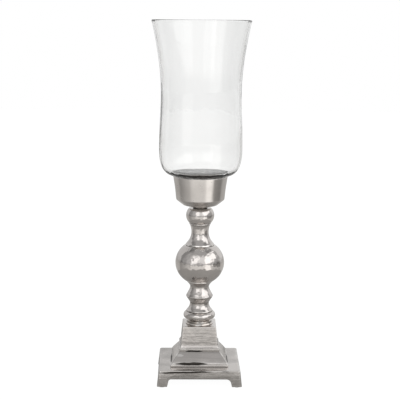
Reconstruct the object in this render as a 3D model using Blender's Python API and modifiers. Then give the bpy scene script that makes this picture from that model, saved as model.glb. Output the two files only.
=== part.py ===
"""Hurricane candle holder: a blown glass shade in a turned cup, on a baluster column and a stepped foot.

Every piece is its own object. One threaded rod runs up the middle of the foot, pedestal, column and cup and
clamps them between two nuts. The glass shade stands loose in the mouth of the cup and lifts off. Units are
metres, +Z is up, and the middle of the felt pads' underside is the origin.
"""

import math

import bmesh
import bpy
from mathutils import Matrix, Vector
from mathutils.geometry import interpolate_bezier

# Fits between pieces
SEAT_GAP = 0.0003
SPIGOT_CLEARANCE = 0.0003
ROD_CLEARANCE = 0.0005

# Rod, nuts and washers
ROD_RADIUS = 0.0030
ROD_END_BEVEL = 0.0006
ROD_PROUD = 0.0025
NUT_ACROSS_FLATS = 0.0100
NUT_THICKNESS = 0.0050
BASE_WASHER_RADIUS = 0.0120
CUP_WASHER_RADIUS = 0.0080
WASHER_THICKNESS = 0.0012
LOCK_WASHER_RADIUS = 0.0055
LOCK_WASHER_THICKNESS = 0.0016
LOCK_WASHER_SLOT = 0.0012

# Spigots that centre one column piece on the next
SPIGOT_RADIUS = 0.0080
SPIGOT_LENGTH = 0.0025

# Felt pads
PAD_RADIUS = 0.0065
PAD_THICKNESS = 0.0010

# Plinth
PLINTH_TOP_SIZE = 0.1371
PLINTH_FOOT_SIZE = 0.1433
PLINTH_HEIGHT = 0.0272
PLINTH_TOP_ROUND = 0.0030
PLINTH_CORNER_ROUND = 0.0035
PLINTH_WALL = 0.0045
PLINTH_TOP_THICKNESS = 0.0045
PLINTH_GUSSET = 0.0280
ARCH_HEIGHT = 0.0127
ARCH_FOOT_LENGTH = 0.0171
ARCH_SLANT = 0.0030
ARCH_ROUND = 0.0060

# Pedestal, from the top down
PEDESTAL_TOP_SIZE = 0.0572
PEDESTAL_WAIST_SIZE = 0.0624
PEDESTAL_BAND_SIZE = 0.0690
PEDESTAL_FOOT_SIZE = 0.0980
PEDESTAL_BLOCK_HEIGHT = 0.0300
PEDESTAL_SWEEP_HEIGHT = 0.0069
PEDESTAL_BAND_HEIGHT = 0.0046
PEDESTAL_SKIRT_HEIGHT = 0.0187
PEDESTAL_FOOT_HEIGHT = 0.0044
PEDESTAL_GROOVE = 0.0007
PEDESTAL_TOP_ROUND = 0.0010
PEDESTAL_CORNER_ROUND = 0.0042
PEDESTAL_WALL = 0.0040
PEDESTAL_TOP_THICKNESS = 0.0060

# Collar under the column
COLLAR_LOWER_RADIUS = 0.0235
COLLAR_UPPER_RADIUS = 0.0205
COLLAR_LOWER_HEIGHT = 0.0028
COLLAR_UPPER_HEIGHT = 0.0038
COLLAR_ROUND = 0.0011

# Lower column, from the bottom up
BEAD_RADIUS = 0.0273
BEAD_SECTION_WIDTH = 0.0076
BEAD_SECTION_HEIGHT = 0.0070
BEAD_FLAT_RADIUS = 0.0190
BEAD_FOOT_HEIGHT = 0.0010
SKIRT_RADIUS = 0.0226
SKIRT_EDGE = 0.0008
SKIRT_HEIGHT = 0.0142
LOWER_NECK_RADIUS = 0.0162
RING_RADIUS = 0.0230
RING_UNDERSIDE_HEIGHT = 0.0100
RING_NOSE_HEIGHT = 0.0032
RING_BELL_HEIGHT = 0.0145
COVE_HEIGHT = 0.0083
COVE_TOP_RADIUS = 0.0212
DISC_RADIUS = 0.0218
DISC_THICKNESS = 0.0029
DISC_ROUND = 0.0009

# Globe
GLOBE_RADIUS = 0.0418
GLOBE_HALF_HEIGHT = 0.0385
GLOBE_TOP_LEDGE = 0.0014
GLOBE_BOTTOM_LEDGE = 0.0034

# Upper column, from the bottom up
TRUMPET_RADIUS = 0.0245
TRUMPET_EDGE = 0.0015
TRUMPET_HEIGHT = 0.0212
WAIST_RADIUS = 0.0147
WAIST_COVE_HEIGHT = 0.0131
NECK_RING_RADIUS = 0.0184
NECK_RING_HEIGHT = 0.0028
NECK_RING_GROOVE = 0.0010
BALL_RADIUS = 0.0240
BALL_HALF_HEIGHT = 0.0205
BALL_TOP_RADIUS = 0.0190
BALL_BOTTOM_RADIUS = 0.0189

# Spacer under the cup
SPACER_RADIUS = 0.0125
SPACER_HEIGHT = 0.0048

# Cup
CUP_HEIGHT = 0.0497
CUP_RIM_RADIUS = 0.0463
CUP_SHOULDER_RADIUS = 0.0410
CUP_SHOULDER_HEIGHT = 0.0098
CUP_BASE_RADIUS = 0.0286
CUP_SHOULDER_ROUND = 0.0030
CUP_FLARE = 0.0006
CUP_LIP_THICKNESS = 0.0030
CUP_LIP_ROUND = 0.0012
CUP_WALL = 0.0042
CUP_FLOOR = 0.0040
CUP_MOUTH_DEPTH = 0.0085
SEAT_WIDTH = 0.0048
SEAT_RING_THICKNESS = 0.0016

# Glass shade
GLASS_HEIGHT = 0.2675
GLASS_RIM_RADIUS = 0.0836
GLASS_WAIST_RADIUS = 0.0677
GLASS_WAIST_HEIGHT = 0.1470
GLASS_BELLY_RADIUS = 0.0704
GLASS_BELLY_HEIGHT = 0.0535
GLASS_SHOULDER_LIFT = 0.0010
GLASS_SHOULDER_WIDTH = 0.0045
GLASS_FOOT_CLEARANCE = 0.0016
GLASS_FOOT_ROUND = 0.0016
GLASS_WALL = 0.0030
GLASS_FLOOR = 0.0126
GLASS_FLOOR_SPREAD = 0.0048

# Fineness of round shapes
WIDE_STEPS = 36
SLIM_STEPS = 28
SMALL_STEPS = 20
BEAD_STEPS = 8
GLOBE_STEPS = 16
BALL_STEPS = 10
CORNER_STEPS = 3
ROUND_STEPS = 2
SMOOTH_ANGLE = math.radians(32)

BORE_RADIUS = ROD_RADIUS + ROD_CLEARANCE


def metal(name, colour, roughness):
    """A plain metal with the given colour."""
    material = bpy.data.materials.new(name)
    material.use_nodes = True
    shader = material.node_tree.nodes["Principled BSDF"]
    shader.inputs["Base Color"].default_value = (*colour, 1.0)
    shader.inputs["Metallic"].default_value = 1.0
    shader.inputs["Roughness"].default_value = roughness
    return material


def plain(name, colour, roughness):
    """A dull material that isn't metal, for felt and rubber."""
    material = metal(name, colour, roughness)
    material.node_tree.nodes["Principled BSDF"].inputs["Metallic"].default_value = 0.0
    return material


def clear_glass(name):
    """Clear blown glass."""
    material = plain(name, (0.95, 0.97, 0.96), 0.03)
    shader = material.node_tree.nodes["Principled BSDF"]
    shader.inputs["Transmission Weight"].default_value = 1.0
    shader.inputs["IOR"].default_value = 1.5
    return material


def clear_scene():
    """Removes what the scene holds."""
    for thing in list(bpy.data.objects):
        bpy.data.objects.remove(thing, do_unlink=True)


def new_collection(name):
    collection = bpy.data.collections.new(name)
    bpy.context.scene.collection.children.link(collection)
    return collection


def round_corner(before, corner, after, radius):
    """The arc of this radius that touches both sides of a corner, as points."""
    to_before = (before - corner).normalized()
    to_after = (after - corner).normalized()
    half_angle = to_before.angle(to_after) / 2
    reach = radius / math.tan(half_angle)
    centre = corner + (to_before + to_after).normalized() * radius / math.sin(half_angle)
    start = corner + to_before * reach - centre
    end = corner + to_after * reach - centre
    return [centre + start.slerp(end, i / ROUND_STEPS).normalized() * radius for i in range(ROUND_STEPS + 1)]


def outline(corners, closed=False):
    """Points of an outline given as corners (x, z) or (x, z, radius of the rounding there)."""
    spots = [Vector(corner[:2]) for corner in corners]
    points = []
    for i, corner in enumerate(corners):
        inner = closed or 0 < i < len(corners) - 1
        if len(corner) == 3 and inner:
            points += round_corner(spots[i - 1], spots[i], spots[(i + 1) % len(spots)], corner[2])
        else:
            points.append(spots[i])
    return [(point.x, point.y) for point in points]


def sweep(start, start_pull, end_pull, end, steps):
    """Points of a free curve from start to end, without the start itself."""
    points = interpolate_bezier(*(Vector(p) for p in (start, start_pull, end_pull, end)), steps + 1)
    return [(point.x, point.y) for point in points[1:]]


def bulge(radius, half_height, centre, top_radius, bottom_radius, steps):
    """The outer side of an upright ellipsoid from its top flat to its bottom flat."""
    start = math.acos(top_radius / radius)
    end = -math.acos(bottom_radius / radius)
    angles = [start + (end - start) * i / steps for i in range(steps + 1)]
    return [(radius * math.cos(a), centre + half_height * math.sin(a)) for a in angles]


def drop_to_flat(radius, half_height, flat_radius):
    """How far above an ellipsoid's middle its side has drawn in to the radius of a flat."""
    return half_height * math.sqrt(1 - (flat_radius / radius) ** 2)


def add_object(name, mesh, collection, material=None):
    thing = bpy.data.objects.new(name, mesh)
    if material:
        mesh.materials.append(material)
    collection.objects.link(thing)
    return thing


def settle(thing):
    """Turns a piece with its modifiers into a plain mesh, shaded smooth up to its sharp edges."""
    graph = bpy.context.evaluated_depsgraph_get()
    mesh = bpy.data.meshes.new_from_object(thing.evaluated_get(graph))
    thing.modifiers.clear()
    thing.data = mesh
    mesh.name = thing.name
    mesh.shade_smooth()
    mesh.set_sharp_from_angle(angle=SMOOTH_ANGLE)


def turned(name, profile, steps, collection, material, closed=True):
    """A turned piece. The profile runs down its outer side and, if closed, back up its bore."""
    mesh = bpy.data.meshes.new(name)
    count = len(profile)
    edges = [(i, (i + 1) % count) for i in range(count if closed else count - 1)]
    mesh.from_pydata([(x, 0, z) for x, z in profile], edges, [])
    thing = add_object(name, mesh, collection, material)
    turn = thing.modifiers.new("Turn", "SCREW")
    turn.axis = "Z"
    turn.steps = steps
    turn.render_steps = steps
    turn.use_merge_vertices = True
    turn.merge_threshold = 0.00001
    return thing


def squared(name, profile, corner_round, collection, material):
    """A square piece, drawn up ring by ring from its foot. The profile gives half the width at each height,
    from the top down, and the corners are rounded in proportion to the width."""
    half, level = profile[-1]
    shape = bmesh.new()
    bmesh.ops.create_grid(
        shape, x_segments=1, y_segments=1, size=half, matrix=Matrix.Translation((0, 0, level))
    )
    bmesh.ops.bevel(
        shape, geom=shape.verts[:], offset=corner_round, offset_type="OFFSET", segments=CORNER_STEPS,
        profile=0.5, affect="VERTICES", clamp_overlap=True, material=-1,
    )
    top = next(iter(shape.faces))
    for next_half, next_level in reversed(profile[:-1]):
        old = [top, *top.edges, *top.verts]
        grown = bmesh.ops.extrude_face_region(shape, geom=old)["geom"]
        top = next(part for part in grown if isinstance(part, bmesh.types.BMFace))
        ring = top.verts[:]
        bmesh.ops.scale(shape, vec=(next_half / half, next_half / half, 1), verts=ring)
        bmesh.ops.translate(shape, vec=(0, 0, next_level - level), verts=ring)
        half, level = next_half, next_level
    bmesh.ops.recalc_face_normals(shape, faces=shape.faces)
    mesh = bpy.data.meshes.new(name)
    shape.to_mesh(mesh)
    shape.free()
    return add_object(name, mesh, collection, material)


def cylinder_cutter(name, radius, bottom, top, steps, cutters):
    """An upright cylinder on the axis that cuts a round hole."""
    shape = bmesh.new()
    bmesh.ops.create_cone(
        shape, cap_ends=True, segments=steps, radius1=radius, radius2=radius, depth=top - bottom,
        matrix=Matrix.Translation((0, 0, (top + bottom) / 2)),
    )
    return add_cutter(name, shape, cutters)


def block_cutter(name, bottom_size, top_size, bottom, top, corner_cut, cutters):
    """A square block that cuts a hollow, tapered upwards, with its upright corners cut off."""
    shape = bmesh.new()
    bmesh.ops.create_cube(shape, size=1)
    for vert in shape.verts:
        upper = vert.co.z > 0
        size = top_size if upper else bottom_size
        vert.co = Vector((vert.co.x * size, vert.co.y * size, top if upper else bottom))
    if corner_cut:
        upright = [e for e in shape.edges if abs(e.verts[0].co.z - e.verts[1].co.z) > (top - bottom) / 2]
        bmesh.ops.bevel(
            shape, geom=upright, offset=corner_cut, offset_type="OFFSET", segments=1,
            profile=0.5, affect="EDGES", clamp_overlap=True, material=-1,
        )
    return add_cutter(name, shape, cutters)


def add_cutter(name, shape, cutters):
    mesh = bpy.data.meshes.new(name)
    shape.to_mesh(mesh)
    shape.free()
    cutter = add_object(name, mesh, cutters)
    cutter.hide_render = True
    cutter.display_type = "WIRE"
    return cutter


def cut(thing, cutter):
    """Takes the cutter's shape out of a piece."""
    cutter.matrix_world = thing.matrix_world @ cutter.matrix_world
    step = thing.modifiers.new(cutter.name, "BOOLEAN")
    step.operation = "DIFFERENCE"
    step.object = cutter


def spigot_and_bore(height, with_spigot, with_recess):
    """The inside of a column piece, from the underside of its edge up to its top face."""
    points = []
    if with_spigot:
        points += [(SPIGOT_RADIUS, 0), (SPIGOT_RADIUS, -SPIGOT_LENGTH), (BORE_RADIUS, -SPIGOT_LENGTH)]
    else:
        points += [(BORE_RADIUS, 0)]
    if with_recess:
        recess = SPIGOT_RADIUS + SPIGOT_CLEARANCE
        floor = height - SPIGOT_LENGTH - SPIGOT_CLEARANCE
        points += [(BORE_RADIUS, floor), (recess, floor), (recess, height)]
    else:
        points += [(BORE_RADIUS, height)]
    return points


def plinth_profile():
    top = PLINTH_TOP_SIZE / 2
    foot = PLINTH_FOOT_SIZE / 2
    return outline([(0, PLINTH_HEIGHT), (top, PLINTH_HEIGHT, PLINTH_TOP_ROUND), (foot, 0)])[1:]


def arch_cutter(name, turn, cutters):
    """The opening under one pair of the plinth's sides, as a rounded outline drawn right through."""
    half = PLINTH_FOOT_SIZE / 2 - ARCH_FOOT_LENGTH
    below = -ARCH_HEIGHT
    corners = [
        (-half - ARCH_SLANT, below),
        (-half + ARCH_SLANT, ARCH_HEIGHT, ARCH_ROUND),
        (half - ARCH_SLANT, ARCH_HEIGHT, ARCH_ROUND),
        (half + ARCH_SLANT, below),
    ]
    line = bpy.data.curves.new(name, "CURVE")
    line.dimensions = "2D"
    line.fill_mode = "BOTH"
    line.extrude = PLINTH_FOOT_SIZE
    spline = line.splines.new("POLY")
    points = outline(corners, closed=True)
    spline.points.add(len(points) - 1)
    for spot, (x, z) in zip(spline.points, points):
        spot.co = (x, z, 0, 1)
    spline.use_cyclic_u = True
    drawn = bpy.data.objects.new(name, line)
    cutters.objects.link(drawn)
    drawn.matrix_world = Matrix.Rotation(turn, 4, "Z") @ Matrix.Rotation(math.pi / 2, 4, "X")
    bpy.context.view_layer.update()
    mesh = bpy.data.meshes.new_from_object(drawn.evaluated_get(bpy.context.evaluated_depsgraph_get()))
    placed = drawn.matrix_world.copy()
    bpy.data.objects.remove(drawn)
    shape = bmesh.new()
    shape.from_mesh(mesh)
    bmesh.ops.remove_doubles(shape, verts=shape.verts, dist=0.00001)
    bmesh.ops.transform(shape, matrix=placed, verts=shape.verts)
    bmesh.ops.recalc_face_normals(shape, faces=shape.faces)
    return add_cutter(name, shape, cutters)


def make_plinth(parts, cutters, material):
    """A shallow cast shell with flared sides, arched between four solid corner feet."""
    plinth = squared("plinth", plinth_profile(), PLINTH_CORNER_ROUND, parts, material)
    plinth.location.z = PAD_THICKNESS + SEAT_GAP
    bpy.context.view_layer.update()
    roof = PLINTH_HEIGHT - PLINTH_TOP_THICKNESS
    inside_top = PLINTH_TOP_SIZE - 2 * PLINTH_WALL
    inside_foot = PLINTH_FOOT_SIZE - 2 * PLINTH_WALL
    below = -PLINTH_TOP_THICKNESS
    flare = (inside_foot - inside_top) / PLINTH_HEIGHT
    hollow = block_cutter(
        "plinth_hollow_cutter", inside_top + flare * (PLINTH_HEIGHT - below),
        inside_top + flare * PLINTH_TOP_THICKNESS, below, roof, PLINTH_GUSSET, cutters,
    )
    cut(plinth, hollow)
    cut(plinth, arch_cutter("arch_cutter_front", 0, cutters))
    cut(plinth, arch_cutter("arch_cutter_side", math.pi / 2, cutters))
    bore = cylinder_cutter(
        "plinth_bore_cutter", BORE_RADIUS, roof / 2, PLINTH_HEIGHT + SPIGOT_LENGTH, SMALL_STEPS, cutters
    )
    cut(plinth, bore)
    return plinth


def make_pads(parts, material):
    """One round felt pad under each corner foot."""
    reach = PLINTH_FOOT_SIZE / 2 - ARCH_FOOT_LENGTH / 2
    corners = {
        "front_left": (-1, -1), "front_right": (1, -1), "back_left": (-1, 1), "back_right": (1, 1),
    }
    profile = [(0, PAD_THICKNESS), (PAD_RADIUS, PAD_THICKNESS), (PAD_RADIUS, 0), (0, 0)]
    pads = []
    for place, (x, y) in corners.items():
        pad = turned("foot_pad_" + place, profile, SMALL_STEPS, parts, material, closed=False)
        pad.location = (x * reach, y * reach, 0)
        pads.append(pad)
    return pads


def pedestal_height():
    return (
        PEDESTAL_BLOCK_HEIGHT + PEDESTAL_SWEEP_HEIGHT + PEDESTAL_BAND_HEIGHT + PEDESTAL_SKIRT_HEIGHT
        + PEDESTAL_FOOT_HEIGHT
    )


def pedestal_profile():
    """Tapered block, a sweep out to a narrow band, a full sloping skirt and a square foot bead."""
    top = PEDESTAL_TOP_SIZE / 2
    waist = PEDESTAL_WAIST_SIZE / 2
    band = PEDESTAL_BAND_SIZE / 2
    foot = PEDESTAL_FOOT_SIZE / 2
    groove = PEDESTAL_GROOVE
    z_top = pedestal_height()
    z_waist = z_top - PEDESTAL_BLOCK_HEIGHT
    z_band = z_waist - PEDESTAL_SWEEP_HEIGHT
    z_skirt = z_band - PEDESTAL_BAND_HEIGHT
    z_foot = PEDESTAL_FOOT_HEIGHT
    sweep_end = band - 2 * groove
    skirt_end = foot - 1.7 * groove
    spread = skirt_end - band
    drop = z_skirt - z_foot
    points = outline([(0, z_top), (top, z_top, PEDESTAL_TOP_ROUND), (waist, z_waist)])[1:]
    points += sweep(
        (waist, z_waist), (waist + groove / 3, z_waist - PEDESTAL_SWEEP_HEIGHT * 0.55),
        (sweep_end - groove, z_band + 3 * groove), (sweep_end, z_band + groove), 3,
    )
    points += [(sweep_end, z_band), (band - groove, z_band), (band, z_band - groove)]
    points += [(band, z_skirt + groove), (band - groove, z_skirt)]
    points += sweep(
        (band - groove, z_skirt), (band + spread * 0.3, z_skirt - drop * 0.26),
        (band + spread * 0.86, z_skirt - drop * 0.55), (skirt_end, z_foot + groove), 6,
    )
    points += [(skirt_end, z_foot)]
    points += outline([(skirt_end, z_foot), (foot, z_foot, groove), (foot, 0)])[1:]
    return points


def make_pedestal(bottom, parts, cutters, material):
    """A hollow square casting, open below, with a thick top that the column's collar plugs into."""
    pedestal = squared("pedestal", pedestal_profile(), PEDESTAL_CORNER_ROUND, parts, material)
    pedestal.location.z = bottom
    bpy.context.view_layer.update()
    height = pedestal_height()
    z_waist = height - PEDESTAL_BLOCK_HEIGHT
    roof = height - PEDESTAL_TOP_THICKNESS
    walls = 2 * PEDESTAL_WALL
    thick_walls = 3 * PEDESTAL_WALL
    upper = block_cutter(
        "pedestal_upper_cutter", PEDESTAL_WAIST_SIZE - walls, PEDESTAL_TOP_SIZE - walls, z_waist / 4, roof, 0,
        cutters,
    )
    lower = block_cutter(
        "pedestal_lower_cutter", PEDESTAL_FOOT_SIZE - thick_walls, PEDESTAL_WAIST_SIZE - thick_walls,
        -PEDESTAL_WALL, z_waist * 0.8, 0, cutters,
    )
    recess = cylinder_cutter(
        "pedestal_recess_cutter", SPIGOT_RADIUS + SPIGOT_CLEARANCE, height - SPIGOT_LENGTH - SPIGOT_CLEARANCE,
        height + SPIGOT_LENGTH, SLIM_STEPS, cutters,
    )
    bore = cylinder_cutter(
        "pedestal_bore_cutter", BORE_RADIUS, z_waist, height - SPIGOT_LENGTH / 2, SMALL_STEPS, cutters
    )
    for cutter in (upper, lower, recess, bore):
        cut(pedestal, cutter)
    return pedestal


def collar_profile():
    """Two stacked round steps."""
    height = COLLAR_LOWER_HEIGHT + COLLAR_UPPER_HEIGHT
    points = outline([
        (SPIGOT_RADIUS + SPIGOT_CLEARANCE, height),
        (COLLAR_UPPER_RADIUS, height, COLLAR_ROUND),
        (COLLAR_UPPER_RADIUS, COLLAR_LOWER_HEIGHT),
        (COLLAR_LOWER_RADIUS, COLLAR_LOWER_HEIGHT, COLLAR_ROUND),
        (COLLAR_LOWER_RADIUS, 0),
    ])[1:]
    return points + spigot_and_bore(height, True, True)


def lower_column_levels():
    """Heights of the lower column's joints between its turnings, from the bottom face up."""
    centre_radius = BEAD_RADIUS - BEAD_SECTION_WIDTH
    sink = BEAD_SECTION_HEIGHT * math.sqrt(1 - ((BEAD_FLAT_RADIUS - centre_radius) / BEAD_SECTION_WIDTH) ** 2)
    bead_middle = BEAD_FOOT_HEIGHT + sink
    bead_top = bead_middle + BEAD_SECTION_HEIGHT
    neck = bead_top + SKIRT_EDGE + SKIRT_HEIGHT
    nose = neck + RING_UNDERSIDE_HEIGHT
    bell = nose + RING_NOSE_HEIGHT
    upper_neck = bell + RING_BELL_HEIGHT
    disc = upper_neck + COVE_HEIGHT
    top = disc + DISC_THICKNESS
    return bead_middle, bead_top, neck, nose, bell, upper_neck, disc, top


def lower_column_profile():
    """Disc, cove, bell and ring, neck, skirt and round bead."""
    bead_middle, bead_top, neck, nose, bell, upper_neck, disc, top = lower_column_levels()
    radius = LOWER_NECK_RADIUS
    flare = RING_RADIUS - radius
    points = outline([
        (SPIGOT_RADIUS + SPIGOT_CLEARANCE, top), (DISC_RADIUS, top, DISC_ROUND),
        (DISC_RADIUS, disc, DISC_ROUND), (COVE_TOP_RADIUS, disc),
    ])[1:]
    points += sweep(
        (COVE_TOP_RADIUS, disc), (radius + (COVE_TOP_RADIUS - radius) * 0.54, disc - COVE_HEIGHT * 0.29),
        (radius, disc - COVE_HEIGHT * 0.63), (radius, upper_neck), 5,
    )
    points += sweep(
        (radius, upper_neck), (radius, upper_neck - RING_BELL_HEIGHT * 0.3),
        (radius + flare * 0.54, upper_neck - RING_BELL_HEIGHT * 0.62), (RING_RADIUS - flare * 0.1, bell), 5,
    )
    points += sweep(
        (RING_RADIUS - flare * 0.1, bell), (RING_RADIUS + flare * 0.04, bell - RING_NOSE_HEIGHT * 0.4),
        (RING_RADIUS + flare * 0.04, nose + RING_NOSE_HEIGHT * 0.4), (RING_RADIUS - flare * 0.1, nose), 3,
    )
    points += sweep(
        (RING_RADIUS - flare * 0.1, nose), (radius + flare * 0.8, nose - RING_UNDERSIDE_HEIGHT * 0.16),
        (radius + flare * 0.26, nose - RING_UNDERSIDE_HEIGHT * 0.62), (radius, neck), 5,
    )
    skirt = SKIRT_RADIUS - radius
    points += sweep(
        (radius, neck), (radius, neck - SKIRT_HEIGHT * 0.36),
        (radius + skirt * 0.34, neck - SKIRT_HEIGHT * 0.7), (SKIRT_RADIUS, neck - SKIRT_HEIGHT), 5,
    )
    points += [(SKIRT_RADIUS, bead_top + SKIRT_EDGE / 2)]
    centre_radius = BEAD_RADIUS - BEAD_SECTION_WIDTH
    start = math.acos((SKIRT_RADIUS - SKIRT_EDGE - centre_radius) / BEAD_SECTION_WIDTH)
    end = -math.acos((BEAD_FLAT_RADIUS - centre_radius) / BEAD_SECTION_WIDTH)
    for i in range(BEAD_STEPS + 1):
        angle = start + (end - start) * i / BEAD_STEPS
        points.append((
            centre_radius + BEAD_SECTION_WIDTH * math.cos(angle),
            bead_middle + BEAD_SECTION_HEIGHT * math.sin(angle),
        ))
    points += [(BEAD_FLAT_RADIUS, 0)]
    return points + spigot_and_bore(top, True, True)


def globe_levels():
    """The globe's middle and height, between the flats that its neighbours stand on."""
    bottom = drop_to_flat(GLOBE_RADIUS, GLOBE_HALF_HEIGHT, DISC_RADIUS + GLOBE_BOTTOM_LEDGE)
    top = drop_to_flat(GLOBE_RADIUS, GLOBE_HALF_HEIGHT, TRUMPET_RADIUS + GLOBE_TOP_LEDGE)
    return bottom, bottom + top


def globe_profile():
    middle, height = globe_levels()
    points = bulge(
        GLOBE_RADIUS, GLOBE_HALF_HEIGHT, middle, TRUMPET_RADIUS + GLOBE_TOP_LEDGE,
        DISC_RADIUS + GLOBE_BOTTOM_LEDGE, GLOBE_STEPS,
    )
    return points + spigot_and_bore(height, True, True)


def upper_column_levels():
    """Heights of the upper column's joints between its turnings, from the bottom face up."""
    waist = TRUMPET_EDGE + TRUMPET_HEIGHT
    ring = waist + WAIST_COVE_HEIGHT
    ball_bottom = ring + NECK_RING_HEIGHT
    ball_middle = ball_bottom + drop_to_flat(BALL_RADIUS, BALL_HALF_HEIGHT, BALL_BOTTOM_RADIUS)
    top = ball_middle + drop_to_flat(BALL_RADIUS, BALL_HALF_HEIGHT, BALL_TOP_RADIUS)
    return waist, ring, ball_bottom, ball_middle, top


def upper_column_profile():
    """Ball, narrow ring, cove and a trumpet-shaped skirt."""
    waist, ring, ball_bottom, ball_middle, top = upper_column_levels()
    groove = NECK_RING_GROOVE
    points = bulge(
        BALL_RADIUS, BALL_HALF_HEIGHT, ball_middle, BALL_TOP_RADIUS, BALL_BOTTOM_RADIUS, BALL_STEPS
    )
    start = NECK_RING_RADIUS - groove
    ring_top = ball_bottom - groove / 2
    points += [(start, ball_bottom - groove / 4)]
    points += outline([
        (0, ring_top), (NECK_RING_RADIUS, ring_top, groove), (NECK_RING_RADIUS, ring, groove), (0, ring),
    ])[1:-1]
    points += sweep(
        (start, ring), (WAIST_RADIUS + (start - WAIST_RADIUS) * 0.55, ring - WAIST_COVE_HEIGHT * 0.25),
        (WAIST_RADIUS, ring - WAIST_COVE_HEIGHT * 0.6), (WAIST_RADIUS, waist), 5,
    )
    skirt = TRUMPET_RADIUS - WAIST_RADIUS
    points += sweep(
        (WAIST_RADIUS, waist), (WAIST_RADIUS, waist - TRUMPET_HEIGHT * 0.36),
        (WAIST_RADIUS + skirt * 0.3, waist - TRUMPET_HEIGHT * 0.65), (TRUMPET_RADIUS, TRUMPET_EDGE), 7,
    )
    points += [(TRUMPET_RADIUS, 0)]
    return points + spigot_and_bore(top, True, True)


def spacer_profile():
    """A short plain washer-like neck between ball and cup."""
    return [(SPACER_RADIUS, SPACER_HEIGHT), (SPACER_RADIUS, 0)] + spigot_and_bore(SPACER_HEIGHT, True, False)


def cup_mouth_radius():
    """Inner radius of the cup's mouth, which takes the foot of the glass."""
    return CUP_RIM_RADIUS - CUP_LIP_THICKNESS


def cup_profile():
    """Flared side, sloping shoulder and flat base outside. Inside, a seat for the glass over a hollow."""
    mouth = cup_mouth_radius()
    seat = CUP_HEIGHT - CUP_MOUTH_DEPTH
    inner_top = mouth - SEAT_WIDTH
    inner_shoulder = CUP_SHOULDER_RADIUS - CUP_WALL
    inner_base = CUP_BASE_RADIUS - CUP_WALL / 2
    middle = (CUP_HEIGHT + CUP_SHOULDER_HEIGHT) / 2
    return outline([
        (mouth, CUP_HEIGHT, CUP_LIP_ROUND),
        (CUP_RIM_RADIUS, CUP_HEIGHT, CUP_LIP_ROUND),
        ((CUP_RIM_RADIUS + CUP_SHOULDER_RADIUS) / 2 - CUP_FLARE, middle, CUP_HEIGHT * 4),
        (CUP_SHOULDER_RADIUS, CUP_SHOULDER_HEIGHT, CUP_SHOULDER_ROUND),
        (CUP_BASE_RADIUS, 0, CUP_SHOULDER_ROUND),
        (BORE_RADIUS, 0),
        (BORE_RADIUS, CUP_FLOOR),
        (inner_base, CUP_FLOOR),
        (inner_shoulder, CUP_SHOULDER_HEIGHT + CUP_FLOOR / 2),
        (inner_top, seat),
        (mouth, seat),
    ], closed=True)


def seat_ring_profile():
    """A flat ring on the cup's seat, under the edge of the glass."""
    outer = cup_mouth_radius() - SPIGOT_CLEARANCE
    inner = cup_mouth_radius() - SEAT_WIDTH
    return [(outer, SEAT_RING_THICKNESS), (outer, 0), (inner, 0), (inner, SEAT_RING_THICKNESS)]


def glass_profile():
    """Flared rim, waist and belly over a rounded shoulder, on a thick foot that stands in the cup.

    The profile climbs the inside from the middle of the floor, and runs down the outside to the middle of the
    foot's underside.
    """
    foot = cup_mouth_radius() - GLASS_FOOT_CLEARANCE
    wall = GLASS_WALL
    rim, waist, belly = GLASS_RIM_RADIUS, GLASS_WAIST_RADIUS, GLASS_BELLY_RADIUS
    z_rim, z_waist, z_belly = GLASS_HEIGHT, GLASS_WAIST_HEIGHT, GLASS_BELLY_HEIGHT
    z_shoulder = CUP_MOUTH_DEPTH - SEAT_RING_THICKNESS - 2 * SEAT_GAP + GLASS_SHOULDER_LIFT
    flare = z_rim - z_waist
    drop = z_waist - z_belly
    fall = z_belly - z_shoulder
    flat = foot + GLASS_FLOOR_SPREAD
    inner_belly = belly - wall
    inner_waist = waist - wall
    points = [(0, GLASS_FLOOR), (flat, GLASS_FLOOR)]
    points += sweep(
        (flat, GLASS_FLOOR), (foot + (belly - foot) * 0.75, GLASS_FLOOR),
        (inner_belly, z_belly - (z_belly - GLASS_FLOOR) * 0.6), (inner_belly, z_belly), 8,
    )
    points += sweep(
        (inner_belly, z_belly), (inner_belly, z_belly + drop * 0.35), (inner_waist, z_waist - drop * 0.35),
        (inner_waist, z_waist), 5,
    )
    points += sweep(
        (inner_waist, z_waist), (inner_waist, z_waist + flare * 0.3),
        (rim - wall - (rim - waist) * 0.56, z_rim - flare * 0.32), (rim - wall, z_rim - wall * 0.3), 7,
    )
    points += [(rim - wall * 0.8, z_rim), (rim - wall * 0.2, z_rim), (rim, z_rim - wall * 0.3)]
    points += sweep(
        points[-1], (rim - (rim - waist) * 0.56, z_rim - flare * 0.32), (waist, z_waist + flare * 0.3),
        (waist, z_waist), 7,
    )
    points += sweep(
        (waist, z_waist), (waist, z_waist - drop * 0.35), (belly, z_belly + drop * 0.35), (belly, z_belly), 6
    )
    points += sweep(
        (belly, z_belly), (belly, z_belly - fall * 0.485),
        (foot + (belly - foot) * 0.88, z_shoulder + fall * 0.06),
        (foot + GLASS_SHOULDER_WIDTH, z_shoulder), 8,
    )
    points += outline([(foot, z_shoulder - GLASS_FOOT_ROUND), (foot, 0, GLASS_FOOT_ROUND), (0, 0)])
    return points


def rod_profile(length):
    bevel = ROD_END_BEVEL
    return [
        (0, length), (ROD_RADIUS - bevel, length), (ROD_RADIUS, length - bevel), (ROD_RADIUS, bevel),
        (ROD_RADIUS - bevel, 0), (0, 0),
    ]


def make_washer(name, radius, thickness, bottom, parts, material):
    profile = [(radius, thickness), (radius, 0), (BORE_RADIUS, 0), (BORE_RADIUS, thickness)]
    washer = turned(name, profile, SLIM_STEPS, parts, material)
    washer.location.z = bottom
    return washer


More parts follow.
